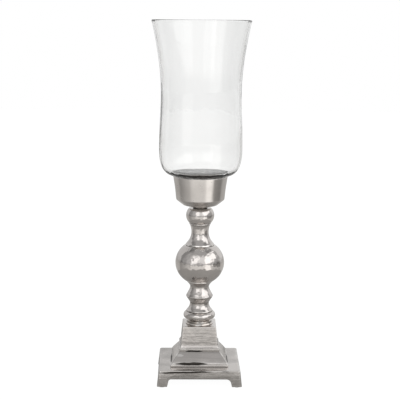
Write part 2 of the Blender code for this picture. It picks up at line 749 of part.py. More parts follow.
def make_lock_washer(bottom, parts, cutters, material):
    """A spring washer: a thick ring with a slot cut through one side."""
    ring = make_washer(
        "base_lock_washer", LOCK_WASHER_RADIUS, LOCK_WASHER_THICKNESS, bottom, parts, material
    )
    bpy.context.view_layer.update()
    shape = bmesh.new()
    bmesh.ops.create_cube(shape, size=1)
    size = Matrix.Diagonal((LOCK_WASHER_RADIUS, LOCK_WASHER_SLOT, 3 * LOCK_WASHER_THICKNESS, 1))
    place = Matrix.Translation((LOCK_WASHER_RADIUS * 0.8, 0, LOCK_WASHER_THICKNESS / 2))
    bmesh.ops.transform(shape, matrix=place @ size, verts=shape.verts)
    cut(ring, add_cutter("lock_washer_slot_cutter", shape, cutters))
    return ring


def make_nut(name, bottom, parts, cutters, material):
    """A hexagon nut."""
    shape = bmesh.new()
    across_corners = NUT_ACROSS_FLATS / math.cos(math.pi / 6)
    bmesh.ops.create_cone(
        shape, cap_ends=True, segments=6, radius1=across_corners / 2, radius2=across_corners / 2,
        depth=NUT_THICKNESS, matrix=Matrix.Translation((0, 0, NUT_THICKNESS / 2)),
    )
    mesh = bpy.data.meshes.new(name)
    shape.to_mesh(mesh)
    shape.free()
    nut = add_object(name, mesh, parts, material)
    nut.location.z = bottom
    bpy.context.view_layer.update()
    bore = cylinder_cutter(
        name + "_bore_cutter", BORE_RADIUS, -NUT_THICKNESS, 2 * NUT_THICKNESS, SMALL_STEPS, cutters
    )
    cut(nut, bore)
    return nut


def build():
    clear_scene()
    parts = new_collection("hurricane_candle_holder")
    cutters = new_collection("cutters")
    nickel = metal("polished_nickel", (0.66, 0.64, 0.62), 0.14)
    shaded_nickel = metal("collar_nickel", (0.58, 0.52, 0.48), 0.18)
    steel = metal("zinc_steel", (0.55, 0.56, 0.57), 0.35)
    felt = plain("felt", (0.03, 0.03, 0.03), 0.95)
    rubber = plain("rubber", (0.03, 0.03, 0.028), 0.7)
    glass = clear_glass("clear_glass")

    pieces = make_pads(parts, felt)
    plinth = make_plinth(parts, cutters, nickel)
    plinth_top = plinth.location.z + PLINTH_HEIGHT
    pedestal = make_pedestal(plinth_top + SEAT_GAP, parts, cutters, nickel)
    level = pedestal.location.z + pedestal_height() + SEAT_GAP
    pieces += [plinth, pedestal]

    column = [
        ("collar", collar_profile(), COLLAR_LOWER_HEIGHT + COLLAR_UPPER_HEIGHT, SLIM_STEPS, shaded_nickel),
        ("lower_column", lower_column_profile(), lower_column_levels()[-1], SLIM_STEPS, nickel),
        ("globe", globe_profile(), globe_levels()[1], WIDE_STEPS, nickel),
        ("upper_column", upper_column_profile(), upper_column_levels()[-1], SLIM_STEPS, nickel),
        ("cup_spacer", spacer_profile(), SPACER_HEIGHT, SLIM_STEPS, shaded_nickel),
    ]
    for name, profile, height, steps, material in column:
        piece = turned(name, profile, steps, parts, material)
        piece.location.z = level
        level += height + SEAT_GAP
        pieces.append(piece)

    cup = turned("cup", cup_profile(), WIDE_STEPS, parts, nickel)
    cup.location.z = level
    seat_ring = turned("seat_ring", seat_ring_profile(), WIDE_STEPS, parts, rubber)
    seat_ring.location.z = level + CUP_HEIGHT - CUP_MOUTH_DEPTH + SEAT_GAP
    shade = turned("glass_shade", glass_profile(), WIDE_STEPS, parts, glass, closed=False)
    shade.location.z = seat_ring.location.z + SEAT_RING_THICKNESS + SEAT_GAP
    pieces += [cup, seat_ring, shade]

    roof = plinth.location.z + PLINTH_HEIGHT - PLINTH_TOP_THICKNESS
    base_washer_at = roof - SEAT_GAP - WASHER_THICKNESS
    lock_washer_at = base_washer_at - SEAT_GAP - LOCK_WASHER_THICKNESS
    base_nut_at = lock_washer_at - SEAT_GAP - NUT_THICKNESS
    cup_washer_at = level + CUP_FLOOR + SEAT_GAP
    cup_nut_at = cup_washer_at + WASHER_THICKNESS + SEAT_GAP
    rod_bottom = base_nut_at - ROD_PROUD
    rod_top = cup_nut_at + NUT_THICKNESS + ROD_PROUD
    rod = turned("tie_rod", rod_profile(rod_top - rod_bottom), SMALL_STEPS, parts, steel, closed=False)
    rod.location.z = rod_bottom
    pieces += [
        rod,
        make_washer("base_washer", BASE_WASHER_RADIUS, WASHER_THICKNESS, base_washer_at, parts, steel),
        make_lock_washer(lock_washer_at, parts, cutters, steel),
        make_nut("base_nut", base_nut_at, parts, cutters, steel),
        make_washer("cup_washer", CUP_WASHER_RADIUS, WASHER_THICKNESS, cup_washer_at, parts, steel),
        make_nut("cup_nut", cup_nut_at, parts, cutters, steel),
    ]
    bpy.context.view_layer.update()
    for piece in pieces:
        settle(piece)


build()
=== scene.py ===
"""Looks of the hurricane candle holder: finer turned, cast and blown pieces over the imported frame, their
finishes, and a plain pale studio. Units are metres, +Z is up."""

import math

import bmesh
import bpy
from mathutils import Matrix, Vector
from mathutils.geometry import interpolate_bezier


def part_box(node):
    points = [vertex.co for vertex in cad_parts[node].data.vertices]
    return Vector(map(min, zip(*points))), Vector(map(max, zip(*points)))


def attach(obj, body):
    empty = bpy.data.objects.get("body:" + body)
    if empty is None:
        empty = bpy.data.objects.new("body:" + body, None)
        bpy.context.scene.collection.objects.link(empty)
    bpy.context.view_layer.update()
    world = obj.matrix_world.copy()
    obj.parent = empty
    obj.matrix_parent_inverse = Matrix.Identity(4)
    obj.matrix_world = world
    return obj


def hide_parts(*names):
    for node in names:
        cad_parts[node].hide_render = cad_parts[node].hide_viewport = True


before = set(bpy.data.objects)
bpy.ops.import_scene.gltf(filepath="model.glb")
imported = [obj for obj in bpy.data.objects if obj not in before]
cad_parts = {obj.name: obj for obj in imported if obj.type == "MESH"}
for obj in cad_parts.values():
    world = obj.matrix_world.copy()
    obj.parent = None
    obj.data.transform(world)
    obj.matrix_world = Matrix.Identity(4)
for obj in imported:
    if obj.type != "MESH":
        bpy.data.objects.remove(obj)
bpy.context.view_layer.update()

# Levels of the two castings, read from the frame
PLINTH_BOTTOM, PLINTH_TOP = (corner.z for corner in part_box("plinth"))
PEDESTAL_BOTTOM, PEDESTAL_TOP = (corner.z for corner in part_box("pedestal"))

# Spigots that centre one column piece on the next, and the bore for the rod
SPIGOT_RADIUS = 0.0080
SPIGOT_LENGTH = 0.0025
SPIGOT_FIT = 0.0003
BORE_RADIUS = 0.0035

# Facets of a full turn
WIDE_STEPS = 192
SLIM_STEPS = 128
SMALL_STEPS = 64

# Relief marks: the turn in radians that counts in full, and how they spread along short edges
CREASE_TURN = 0.5
EDGE_TURN = 0.8
SHORT_EDGE = 0.003
SPREAD = 0.6
SPREAD_ROUNDS = 2


# Shapes
def arc_corner(before, corner, after, radius, steps):
    """The arc of this radius that touches both sides of a corner, as points."""
    to_before = (before - corner).normalized()
    to_after = (after - corner).normalized()
    half_angle = to_before.angle(to_after) / 2
    reach = radius / math.tan(half_angle)
    centre = corner + (to_before + to_after).normalized() * radius / math.sin(half_angle)
    start = corner + to_before * reach - centre
    end = corner + to_after * reach - centre
    return [centre + start.slerp(end, i / steps).normalized() * radius for i in range(steps + 1)]


def outline(corners, closed=False, steps=5):
    """Points of an outline given as corners (x, z) or (x, z, radius of the rounding there)."""
    spots = [Vector(corner[:2]) for corner in corners]
    points = []
    for i, corner in enumerate(corners):
        inner = closed or 0 < i < len(corners) - 1
        if len(corner) == 3 and inner:
            points += arc_corner(spots[i - 1], spots[i], spots[(i + 1) % len(spots)], corner[2], steps)
        else:
            points.append(spots[i])
    return [(point.x, point.y) for point in points]


def sweep(start, start_pull, end_pull, end, steps=14):
    """Points of a free curve from start to end, without the start itself."""
    points = interpolate_bezier(*(Vector(p) for p in (start, start_pull, end_pull, end)), steps + 1)
    return [(point.x, point.y) for point in points[1:]]


def bulge(radius, half_height, centre, top_radius, bottom_radius, steps):
    """The outer side of an upright ellipsoid from its top flat to its bottom flat."""
    start = math.acos(top_radius / radius)
    end = -math.acos(bottom_radius / radius)
    angles = [start + (end - start) * i / steps for i in range(steps + 1)]
    return [(radius * math.cos(a), centre + half_height * math.sin(a)) for a in angles]


def mark_relief(shape):
    """Writes how hollow and how proud each point of a piece is: for tarnishing and painted shade in creases,
    and for wear and painted highlights on proud edges.
    """
    crease = shape.verts.layers.float.new("crease")
    edge = shape.verts.layers.float.new("proud_edge")
    for vert in shape.verts:
        turn = 0.0
        for side in vert.link_edges:
            if len(side.link_faces) == 2:
                turn += side.calc_face_angle_signed(0.0)
        vert[crease] = min(1.0, max(0.0, -turn / CREASE_TURN))
        vert[edge] = min(1.0, max(0.0, turn / EDGE_TURN))
    near_sides = {
        vert: [side for side in vert.link_edges if side.calc_length() < SHORT_EDGE] for vert in shape.verts
    }
    for layer in (crease, edge):
        for _ in range(SPREAD_ROUNDS):
            spread = {}
            for vert in shape.verts:
                near = [SPREAD * side.other_vert(vert)[layer] for side in near_sides[vert]]
                spread[vert] = max([vert[layer], *near])
            for vert, value in spread.items():
                vert[layer] = value


def add_cuts(shape, ways, levels=()):
    """Adds edge loops to the long flats of a casting, so that its relief marks end near its edges."""
    snap = 0.00005
    planes = [((place, 0, 0), (1, 0, 0)) for place in ways]
    planes += [((0, place, 0), (0, 1, 0)) for place in ways]
    planes += [((0, 0, level), (0, 0, 1)) for level in levels]
    for middle, normal in planes:
        everything = shape.verts[:] + shape.edges[:] + shape.faces[:]
        bmesh.ops.bisect_plane(shape, geom=everything, dist=snap, plane_co=middle, plane_no=normal)


def finish_piece(name, shape, material, body, slot, *nodes, relief=True, sharp=32):
    """Makes a modelled piece's object, smooth up to edges over the sharp angle, in place of its CAD nodes."""
    if relief:
        mark_relief(shape)
    piece = place_object(name, shape)
    piece.data.materials.append(material)
    piece.data.shade_smooth()
    piece.data.set_sharp_from_angle(angle=math.radians(sharp))
    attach(piece, body)
    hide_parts(*nodes)


def lathe(profile, steps, bottom, closed=True):
    """A turned shape: its profile spun once round the axis, lifted to its level."""
    shape = bmesh.new()
    points = [shape.verts.new((x, 0, z + bottom)) for x, z in profile]
    pairs = list(zip(points, points[1:]))
    if closed:
        pairs.append((points[-1], points[0]))
    lines = [shape.edges.new(pair) for pair in pairs]
    bmesh.ops.spin(
        shape, geom=points + lines, cent=(0, 0, 0), axis=(0, 0, 1), dvec=(0, 0, 0),
        angle=math.tau, steps=steps, use_merge=True, use_duplicate=False,
    )
    merge_distance = 0.000002
    bmesh.ops.remove_doubles(shape, verts=shape.verts, dist=merge_distance)
    bmesh.ops.recalc_face_normals(shape, faces=shape.faces)
    return shape


def spigot_and_bore(height, with_recess=True):
    """The inside of a column piece: its spigot below, the bore, and the recess for the next spigot."""
    points = [(SPIGOT_RADIUS, 0), (SPIGOT_RADIUS, -SPIGOT_LENGTH), (BORE_RADIUS, -SPIGOT_LENGTH)]
    if with_recess:
        recess = SPIGOT_RADIUS + SPIGOT_FIT
        floor = height - SPIGOT_LENGTH - SPIGOT_FIT
        return points + [(BORE_RADIUS, floor), (recess, floor), (recess, height)]
    return points + [(BORE_RADIUS, height)]


def column_span(node):
    """The level of a column piece's shoulder, over its spigot, and its height from there."""
    low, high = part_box(node)
    bottom = low.z + SPIGOT_LENGTH
    return bottom, high.z - bottom


def place_object(name, shape):
    """An object in the scene that holds a modelled shape."""
    mesh = bpy.data.meshes.new(name)
    shape.to_mesh(mesh)
    shape.free()
    placed = bpy.data.objects.new(name, mesh)
    bpy.context.scene.collection.objects.link(placed)
    return placed


# Finishes
def new_material(name):
    """An empty node material."""
    material = bpy.data.materials.new(name)
    material.use_nodes = True
    material.node_tree.nodes.clear()
    return material


def add_node(tree, kind, **settings):
    """A new node with these settings."""
    node = tree.nodes.new(kind)
    for key, value in settings.items():
        setattr(node, key, value)
    return node


def feed(tree, node, **inputs):
    """Sets or links a node's inputs. Underscores in the names stand for spaces."""
    for key, value in inputs.items():
        socket = node.inputs[key.replace("_", " ")]
        if isinstance(value, bpy.types.NodeSocket):
            tree.links.new(value, socket)
        else:
            socket.default_value = value
    return node


def group_tree(name, inputs, outputs):
    """An empty shader node group with number inputs, given with their usual values, and number outputs."""
    tree = bpy.data.node_groups.new(name, "ShaderNodeTree")
    for label, value in inputs.items():
        socket = tree.interface.new_socket(label, in_out="INPUT", socket_type="NodeSocketFloat")
        socket.default_value = value
    for label in outputs:
        tree.interface.new_socket(label, in_out="OUTPUT", socket_type="NodeSocketFloat")
    return tree, tree.nodes.new("NodeGroupInput"), tree.nodes.new("NodeGroupOutput")


def object_place(tree):
    """Places on the object, in metres."""
    return add_node(tree, "ShaderNodeTexCoord").outputs["Object"]


def noise(tree, vector, scale, detail=2.0, rough=0.5, distortion=0.0):
    node = add_node(tree, "ShaderNodeTexNoise")
    return feed(
        tree, node, Vector=vector, Scale=scale, Detail=detail, Roughness=rough, Distortion=distortion
    ).outputs["Fac"]


def stretched(tree, vector, scale):
    node = add_node(tree, "ShaderNodeMapping")
    return feed(tree, node, Vector=vector, Scale=scale).outputs["Vector"]


def math_node(tree, operation, first, second=0.0):
    node = add_node(tree, "ShaderNodeMath", operation=operation)
    for socket, value in zip(node.inputs, (first, second)):
        if isinstance(value, bpy.types.NodeSocket):
            tree.links.new(value, socket)
        else:
            socket.default_value = value
    return node.outputs[0]


def times(tree, *values):
    total = values[0]
    for value in values[1:]:
        total = math_node(tree, "MULTIPLY", total, value)
    return total


def add_all(tree, *values):
    total = values[0]
    for value in values[1:]:
        total = math_node(tree, "ADD", total, value)
    return total


def fitted(tree, value, low, high, to_low=0.0, to_high=1.0):
    """Maps a value's range onto another, held at both ends."""
    node = add_node(tree, "ShaderNodeMapRange")
    feed(tree, node, Value=value, From_Min=low, From_Max=high, To_Min=to_low, To_Max=to_high)
    return node.outputs["Result"]


def soft_step(tree, value, low, high):
    """Rises softly from 0 to 1 between two values."""
    node = add_node(tree, "ShaderNodeMapRange", interpolation_type="SMOOTHSTEP")
    return feed(tree, node, Value=value, From_Min=low, From_Max=high).outputs["Result"]


def soft_fall(tree, value, low, high):
    """Falls softly from 1 to 0 between two values."""
    return math_node(tree, "SUBTRACT", 1.0, soft_step(tree, value, low, high))


def band(tree, value, low, high, soft):
    """1 between two values, falling softly to 0 outside them."""
    rise = soft_step(tree, value, low - soft, low + soft)
    fall = soft_step(tree, value, high - soft, high + soft)
    return math_node(tree, "SUBTRACT", rise, fall)


def blend_colours(tree, factor, first, second):
    node = add_node(tree, "ShaderNodeMix", data_type="RGBA")
    for socket, value in ((node.inputs[0], factor), (node.inputs[6], first), (node.inputs[7], second)):
        if isinstance(value, bpy.types.NodeSocket):
            tree.links.new(value, socket)
        else:
            socket.default_value = value
    return node.outputs[2]


def hand_polish_group():
    """Buffed metal: soft waves, small dents, level drawn streaks, fine polishing lines and dull patches."""
    tree, given, result = group_tree(
        "hand_polish", {"Wave": 0.5, "Dents": 0.5, "Streaks": 0.0, "Lines": 0.5, "Patches": 0.5},
        ("Height", "Dull", "Tone"),
    )
    place = object_place(tree)
    wave = noise(tree, place, 26.0, detail=1.0)
    dents = noise(tree, place, 130.0, detail=1.0)
    streaks = noise(tree, stretched(tree, place, (16.0, 16.0, 260.0)), 1.0, detail=2.0, distortion=0.6)
    lines = noise(tree, stretched(tree, place, (30.0, 30.0, 1400.0)), 1.0, detail=3.0)
    grain = noise(tree, place, 900.0, detail=2.0)
    patches = noise(tree, place, 70.0, detail=4.0, rough=0.6)
    waves = times(tree, wave, given.outputs["Wave"])
    fine = times(tree, add_all(tree, lines, grain), given.outputs["Lines"])
    dented = times(tree, dents, given.outputs["Dents"])
    drawn = times(tree, fitted(tree, streaks, 0.3, 0.7, -0.5, 0.5), given.outputs["Streaks"])
    height = add_all(tree, waves, dented, times(tree, drawn, 0.3), times(tree, fine, 0.02))
    dull = times(tree, fitted(tree, patches, 0.42, 0.68), given.outputs["Patches"])
    tone = add_all(tree, fitted(tree, wave, 0.35, 0.65), drawn)
    feed(tree, result, Height=height, Dull=dull, Tone=tone)
    return tree


def relief_group():
    """Darkening from tarnishing and painted shade in creases and painted shade inside the cup and on its
    neck, and brightening from wear and painted highlights on proud edges, from what each point of a piece
    keeps."""
    tree, given, result = group_tree("relief_shade_and_wear", {"Crease": 1.0, "Edge": 1.0}, ("Tarnish", "Rub"))
    broken = noise(tree, object_place(tree), 240.0, detail=4.0, rough=0.65)
    broken = fitted(tree, broken, 0.3, 0.7, 0.45, 1.0)
    crease = add_node(tree, "ShaderNodeAttribute", attribute_name="crease").outputs["Fac"]
    edge = add_node(tree, "ShaderNodeAttribute", attribute_name="proud_edge").outputs["Fac"]
    inner_painted_shade = add_node(tree, "ShaderNodeAttribute", attribute_name="inner_painted_shade").outputs["Fac"]
    shade_and_tarnish = times(tree, crease, broken, given.outputs["Crease"])
    shade_and_tarnish = math_node(tree, "MAXIMUM", shade_and_tarnish, inner_painted_shade)
    wear_and_glint = times(tree, edge, broken, given.outputs["Edge"])
    feed(tree, result, Tarnish=shade_and_tarnish, Rub=wear_and_glint)
    return tree


HAND_POLISH = hand_polish_group()
RELIEF_SHADE_AND_WEAR = relief_group()


def place_group(tree, group, **values):
    node = tree.nodes.new("ShaderNodeGroup")
    node.node_tree = group
    return feed(tree, node, **values)


def painted_light_lines(tree, painted_lines):
    """Painted lines on the four sides of a piece: dark ones for shadow and for reflections of dark things,
    bright ones for glints. Each mark has its level, its rise across, its half height, where it starts and
    ends, how far its ends taper, and its strength."""
    place = object_place(tree)
    spot = add_node(tree, "ShaderNodeSeparateXYZ")
    tree.links.new(place, spot.inputs[0])
    across, back, level = spot.outputs
    sideways = math_node(
        tree, "GREATER_THAN", math_node(tree, "ABSOLUTE", across), math_node(tree, "ABSOLUTE", back)
    )
    frontal = math_node(tree, "SUBTRACT", 1.0, sideways)
    along = add_all(tree, times(tree, across, frontal), times(tree, back, sideways))
    wander = fitted(tree, noise(tree, place, 60.0), 0.3, 0.7, -0.0004, 0.0004)
    strongest = 0.0
    for middle, rise, half, start, end, taper, strength in painted_lines:
        reach = band(tree, along, start, end, taper)
        off = math_node(tree, "ABSOLUTE", add_all(tree, level, wander, times(tree, along, -rise), -middle))
        line = soft_fall(tree, math_node(tree, "SUBTRACT", off, times(tree, reach, half)), -0.0002, 0.0003)
        mark = times(tree, line, soft_step(tree, reach, 0.0, 0.3), strength)
        strongest = math_node(tree, "MAXIMUM", strongest, mark)
    return strongest


def finish_surface(tree, height, strength, depth, **values):
    """The bump, the shader and the output that end a finish."""
    bump = feed(tree, add_node(tree, "ShaderNodeBump"), Strength=strength, Distance=depth, Height=height)
    shader = feed(tree, add_node(tree, "ShaderNodeBsdfPrincipled"), Normal=bump.outputs["Normal"], **values)
    feed(tree, add_node(tree, "ShaderNodeOutputMaterial"), Surface=shader.outputs["BSDF"])


# The pale colour that worn edges and painted glints take, and how far they take it
WEAR_AND_GLINT_COLOUR = (0.94, 0.915, 0.89, 1.0)
WEAR_AND_GLINT_SHARE = 0.8
DULL_ROUGHNESS = 0.12
SHADE_AND_TARNISH_ROUGHNESS = 0.25
RUBBED_SMOOTHNESS = 0.04


def buffed_metal(
    name, colour, shade, shade_and_tarnish_colour, roughness, wave, dents, lines, patches, crease,
    streaks=0.0, edge=0.6, painted_lines=(), glints=(),
):
    """Buffed metal with polishing waves and dull patches, tarnishing and painted shade in creases, painted
    lines of dark reflection and shadow, and edges made brighter by wear and painted glints.
    """
    material = new_material(name)
    tree = material.node_tree
    polish = place_group(
        tree, HAND_POLISH, Wave=wave, Dents=dents, Streaks=streaks, Lines=lines, Patches=patches
    )
    relief = place_group(tree, RELIEF_SHADE_AND_WEAR, Crease=crease, Edge=edge)
    shade_and_tarnish, wear_and_glint = relief.outputs
    if painted_lines:
        shade_and_tarnish = math_node(tree, "MAXIMUM", shade_and_tarnish, painted_light_lines(tree, painted_lines))
    if glints:
        wear_and_glint = math_node(tree, "MAXIMUM", wear_and_glint, painted_light_lines(tree, glints))
    base = blend_colours(tree, polish.outputs["Tone"], (*shade, 1.0), (*colour, 1.0))
    # Painted highlights: proud edges and glints turn towards the pale colour, partly as real wear
    base = blend_colours(tree, times(tree, wear_and_glint, WEAR_AND_GLINT_SHARE), base, WEAR_AND_GLINT_COLOUR)
    # Painted shade: creases, the cup's inside, the neck and the shade lines darken the colour, with some
    # tarnishing
    base = blend_colours(tree, shade_and_tarnish, base, (*shade_and_tarnish_colour, 1.0))
    dulled = times(tree, polish.outputs["Dull"], DULL_ROUGHNESS)
    rough = add_all(tree, roughness, dulled, times(tree, shade_and_tarnish, SHADE_AND_TARNISH_ROUGHNESS))
    rough = math_node(tree, "SUBTRACT", rough, times(tree, wear_and_glint, RUBBED_SMOOTHNESS))
    finish_surface(
        tree, polish.outputs["Height"], 0.35, 0.0006, Base_Color=base, Metallic=1.0, Roughness=rough
    )
    return material


def blown_glass():
    """Clear glass, faintly uneven from blowing."""
    material = new_material("blown_clear_glass")
    tree = material.node_tree
    place = object_place(tree)
    draw = noise(tree, stretched(tree, place, (34.0, 34.0, 7.0)), 1.0, detail=2.0, distortion=0.4)
    ripple = noise(tree, stretched(tree, place, (60.0, 60.0, 120.0)), 1.0, detail=1.0)
    height = add_all(tree, draw, times(tree, ripple, 0.08))
    haze = fitted(tree, noise(tree, place, 45.0, detail=3.0), 0.4, 0.75, 0.0, 0.025)
    finish_surface(
        tree, height, 0.45, 0.0012, Base_Color=(0.963, 0.965, 0.962, 1.0), Metallic=0.0, Roughness=haze,
        IOR=1.5, Transmission_Weight=1.0,
    )
    return material


def pressed_felt():
    """Dark felt with fine fibres."""
    material = new_material("pressed_felt")
    tree = material.node_tree
    fibre = noise(tree, object_place(tree), 2600.0, detail=4.0, rough=0.7)
    base = blend_colours(tree, fibre, (0.012, 0.012, 0.013, 1.0), (0.06, 0.058, 0.055, 1.0))
    finish_surface(tree, fibre, 0.8, 0.0002, Base_Color=base, Roughness=0.95, Sheen_Weight=0.4)
    return material


def moulded_rubber():
    """Black rubber with a fine grain."""
    material = new_material("moulded_rubber")
    tree = material.node_tree
    grain = noise(tree, object_place(tree), 700.0, detail=3.0)
    base = blend_colours(tree, grain, (0.018, 0.018, 0.017, 1.0), (0.045, 0.044, 0.042, 1.0))
    rough = fitted(tree, grain, 0.3, 0.7, 0.5, 0.75)
    finish_surface(tree, grain, 0.4, 0.0001, Base_Color=base, Roughness=rough)
    return material


# Painted shade lines and painted glints: level, rise across, half height, start, end, taper, strength
# Painted dark reflections and painted shadow on the pedestal: under the band, at the block's foot, at the
# skirt's foot, and the contact shadow under the foot bead
PEDESTAL_SHADE_LINES = (
    (0.0524, 0.0, 0.0013, -0.0215, 0.0040, 0.0050, 1.0),
    (0.0575, 0.0, 0.0010, -0.0230, 0.0270, 0.0080, 0.40),
    (0.0341, 0.0, 0.0020, -0.0350, 0.0080, 0.0120, 1.0),
    (0.0294, 0.0, 0.0016, -0.0460, 0.0450, 0.0040, 0.48),
)
# Painted highlights at the corners of the pedestal's steps and down one corner of its skirt, drawn on all
# four sides
PEDESTAL_GLINTS = (
    (0.0560, 0.0, 0.0016, -0.0325, -0.0225, 0.0020, 1.0),
    (0.0462, 0.0, 0.0018, -0.0385, -0.0285, 0.0030, 1.0),
    (0.0330, 0.0, 0.0022, -0.0475, -0.0400, 0.0020, 1.0),
    (0.0948, -1.24, 0.0018, 0.0350, 0.0480, 0.0020, 1.0),
)
# Painted dark reflections and painted shade on the plinth: along its top front edge, a dark spot, and a
# darker lower front
PLINTH_SHADE_LINES = (
    (0.0262, 0.024, 0.0014, -0.0620, 0.0130, 0.0160, 1.0),
    (0.0268, 0.0, 0.0007, 0.0385, 0.0490, 0.0030, 0.60),
    (0.0155, 0.0, 0.0045, -0.0500, 0.0500, 0.0100, 0.25),
)
# Painted highlights at the plinth's front left corner and on its left foot
PLINTH_GLINTS = (
    (0.0235, 0.0, 0.0030, -0.0685, -0.0610, 0.0020, 0.9),
    (0.0070, 0.0, 0.0065, -0.0720, -0.0530, 0.0030, 0.45),
)
BEAD_FOOT = column_span("lower_column")[0]
# A painted highlight on the bead of the lower column
COLUMN_GLINTS = ((BEAD_FOOT + 0.0072, 0.0, 0.0022, -0.0070, 0.0090, 0.0040, 0.6),)
# Painted highlights on the collar's two steps
COLLAR_GLINTS = (
    (PEDESTAL_TOP + 0.0017, 0.0, 0.0012, -0.0060, 0.0030, 0.0020, 1.0),
    (PEDESTAL_TOP + 0.0050, 0.0, 0.0018, -0.0040, 0.0070, 0.0020, 1.0),
)

CUP_NICKEL = buffed_metal(
    "buffed_nickel_cup", (0.625, 0.594, 0.570), (0.56, 0.532, 0.510), (0.05, 0.045, 0.04), roughness=0.19,
    wave=0.5, dents=0.3, lines=1.1, patches=0.8, crease=0.6,
)
CAST_NICKEL = buffed_metal(
    "cast_nickel_base", (0.68, 0.642, 0.618), (0.60, 0.569, 0.546), (0.05, 0.045, 0.04), roughness=0.13,
    wave=1.4, dents=1.0, lines=0.5, patches=0.9, crease=0.4, streaks=1.5, edge=1.0,
    painted_lines=PEDESTAL_SHADE_LINES, glints=PEDESTAL_GLINTS,
)
FOOT_NICKEL = buffed_metal(
    "cast_nickel_foot", (0.60, 0.57, 0.545), (0.46, 0.437, 0.417), (0.05, 0.045, 0.04), roughness=0.15,
    wave=1.6, dents=0.8, lines=0.5, patches=0.9, crease=0.8, streaks=1.6, edge=0.9,
    painted_lines=PLINTH_SHADE_LINES, glints=PLINTH_GLINTS,
)
NICKEL = buffed_metal(
    "buffed_nickel", (0.66, 0.624, 0.60), (0.60, 0.567, 0.545), (0.10, 0.085, 0.07), roughness=0.09,
    wave=0.8, dents=3.5, lines=0.5, patches=0.6, crease=0.85, glints=COLUMN_GLINTS,
)
# A darker, warmer nickel for the collar and the cup's neck
COLLAR_NICKEL = buffed_metal(
    "darker_warm_nickel", (0.64, 0.59, 0.55), (0.50, 0.45, 0.41), (0.05, 0.04, 0.03), roughness=0.09,
    wave=0.5, dents=1.0, lines=0.6, patches=0.8, crease=1.0, glints=COLLAR_GLINTS,
)
ZINC_STEEL = buffed_metal(
    "zinc_steel", (0.52, 0.54, 0.56), (0.42, 0.43, 0.44), (0.07, 0.06, 0.05), roughness=0.32,
    wave=0.3, dents=0.0, lines=1.0, patches=1.0, crease=1.0,
)
GLASS = blown_glass()
FELT = pressed_felt()
RUBBER = moulded_rubber()


# Turned pieces of the column
def make_collar():
    """Two stacked steps with slightly sloping sides and soft edges."""
    lower, upper, height, step = 0.0235, 0.0205, 0.0066, 0.0028
    soft_edge, small_edge = 0.0008, 0.0003
    points = outline([
        (SPIGOT_RADIUS, height), (upper - 0.0018, height, soft_edge),
        (upper - 0.0006, height - 0.0015, 0.0006), (upper + 0.0003, step),
        (lower - 0.0014, step, small_edge), (lower, 0.0004, small_edge), (lower, 0, 0.0002),
        (SPIGOT_RADIUS, 0),
    ])[1:-1]
    bottom, _ = column_span("collar")
    shape = lathe(points + spigot_and_bore(height), SLIM_STEPS, bottom)
    finish_piece("turned_collar", shape, COLLAR_NICKEL, "stand", "collar_nickel", "collar")


def lower_column_profile(height):
    """Disc, cove, bell with its angular ring, neck, skirt and round bead, from the top down."""
    disc = height - 0.0029
    upper_neck = disc - 0.0083
    bell = upper_neck - 0.0145
    nose = bell - 0.0032
    neck = nose - 0.0100
    bead_top = neck - 0.0150
    radius, ring, skirt_radius = 0.0162, 0.0230, 0.0226
    disc_radius, disc_edge, cove_radius = 0.0218, 0.0009, 0.0212
    flare = ring - radius
    skirt = skirt_radius - radius
    points = outline([
        (SPIGOT_RADIUS, height), (disc_radius, height, disc_edge), (disc_radius, disc, disc_edge),
        (cove_radius, disc),
    ])[1:]
    points += sweep(
        (cove_radius, disc), (radius + 0.0027, disc - 0.0024), (radius, disc - 0.0052), (radius, upper_neck)
    )
    points += sweep(
        (radius, upper_neck), (radius, upper_neck - 0.00435), (radius + flare * 0.54, upper_neck - 0.0090),
        (ring - flare * 0.1, bell),
    )
    points += sweep(
        (ring - flare * 0.1, bell), (ring + flare * 0.04, bell - 0.00128),
        (ring + flare * 0.04, nose + 0.00128), (ring - flare * 0.1, nose), 8,
    )
    points += sweep(
        (ring - flare * 0.1, nose), (radius + flare * 0.8, nose - 0.0016),
        (radius + flare * 0.26, nose - 0.0062), (radius, neck),
    )
    points += sweep(
        (radius, neck), (radius, neck - 0.0051), (radius + skirt * 0.3, neck - 0.0095),
        (skirt_radius - 0.0006, neck - 0.0132),
    )
    points += [(skirt_radius - 0.0005, neck - 0.0134), (skirt_radius, bead_top + 0.0004)]
    centre, width, tall, foot_radius, steps = 0.0197, 0.0076, 0.0070, 0.0190, 32
    bead_middle = bead_top - tall
    start = math.acos((skirt_radius - 0.0008 - centre) / width)
    end = -math.acos((foot_radius - centre) / width)
    for i in range(steps + 1):
        angle = start + (end - start) * i / steps
        points.append((centre + width * math.cos(angle), bead_middle + tall * math.sin(angle)))
    return points + [(foot_radius, 0)]


def make_lower_column():
    bottom, height = column_span("lower_column")
    shape = lathe(lower_column_profile(height) + spigot_and_bore(height), SLIM_STEPS, bottom)
    finish_piece("turned_lower_column", shape, NICKEL, "stand", "polished_nickel", "lower_column")


def make_globe():
    bottom, height = column_span("globe")
    top_flat, bottom_flat, radius, half_height = 0.0259, 0.0252, 0.0418, 0.0385
    middle = half_height * math.sqrt(1 - (bottom_flat / radius) ** 2)
    points = bulge(radius, half_height, middle, top_flat, bottom_flat, 72)
    shape = lathe(points + spigot_and_bore(height), WIDE_STEPS, bottom)
    finish_piece("turned_globe", shape, NICKEL, "stand", "polished_nickel", "globe")


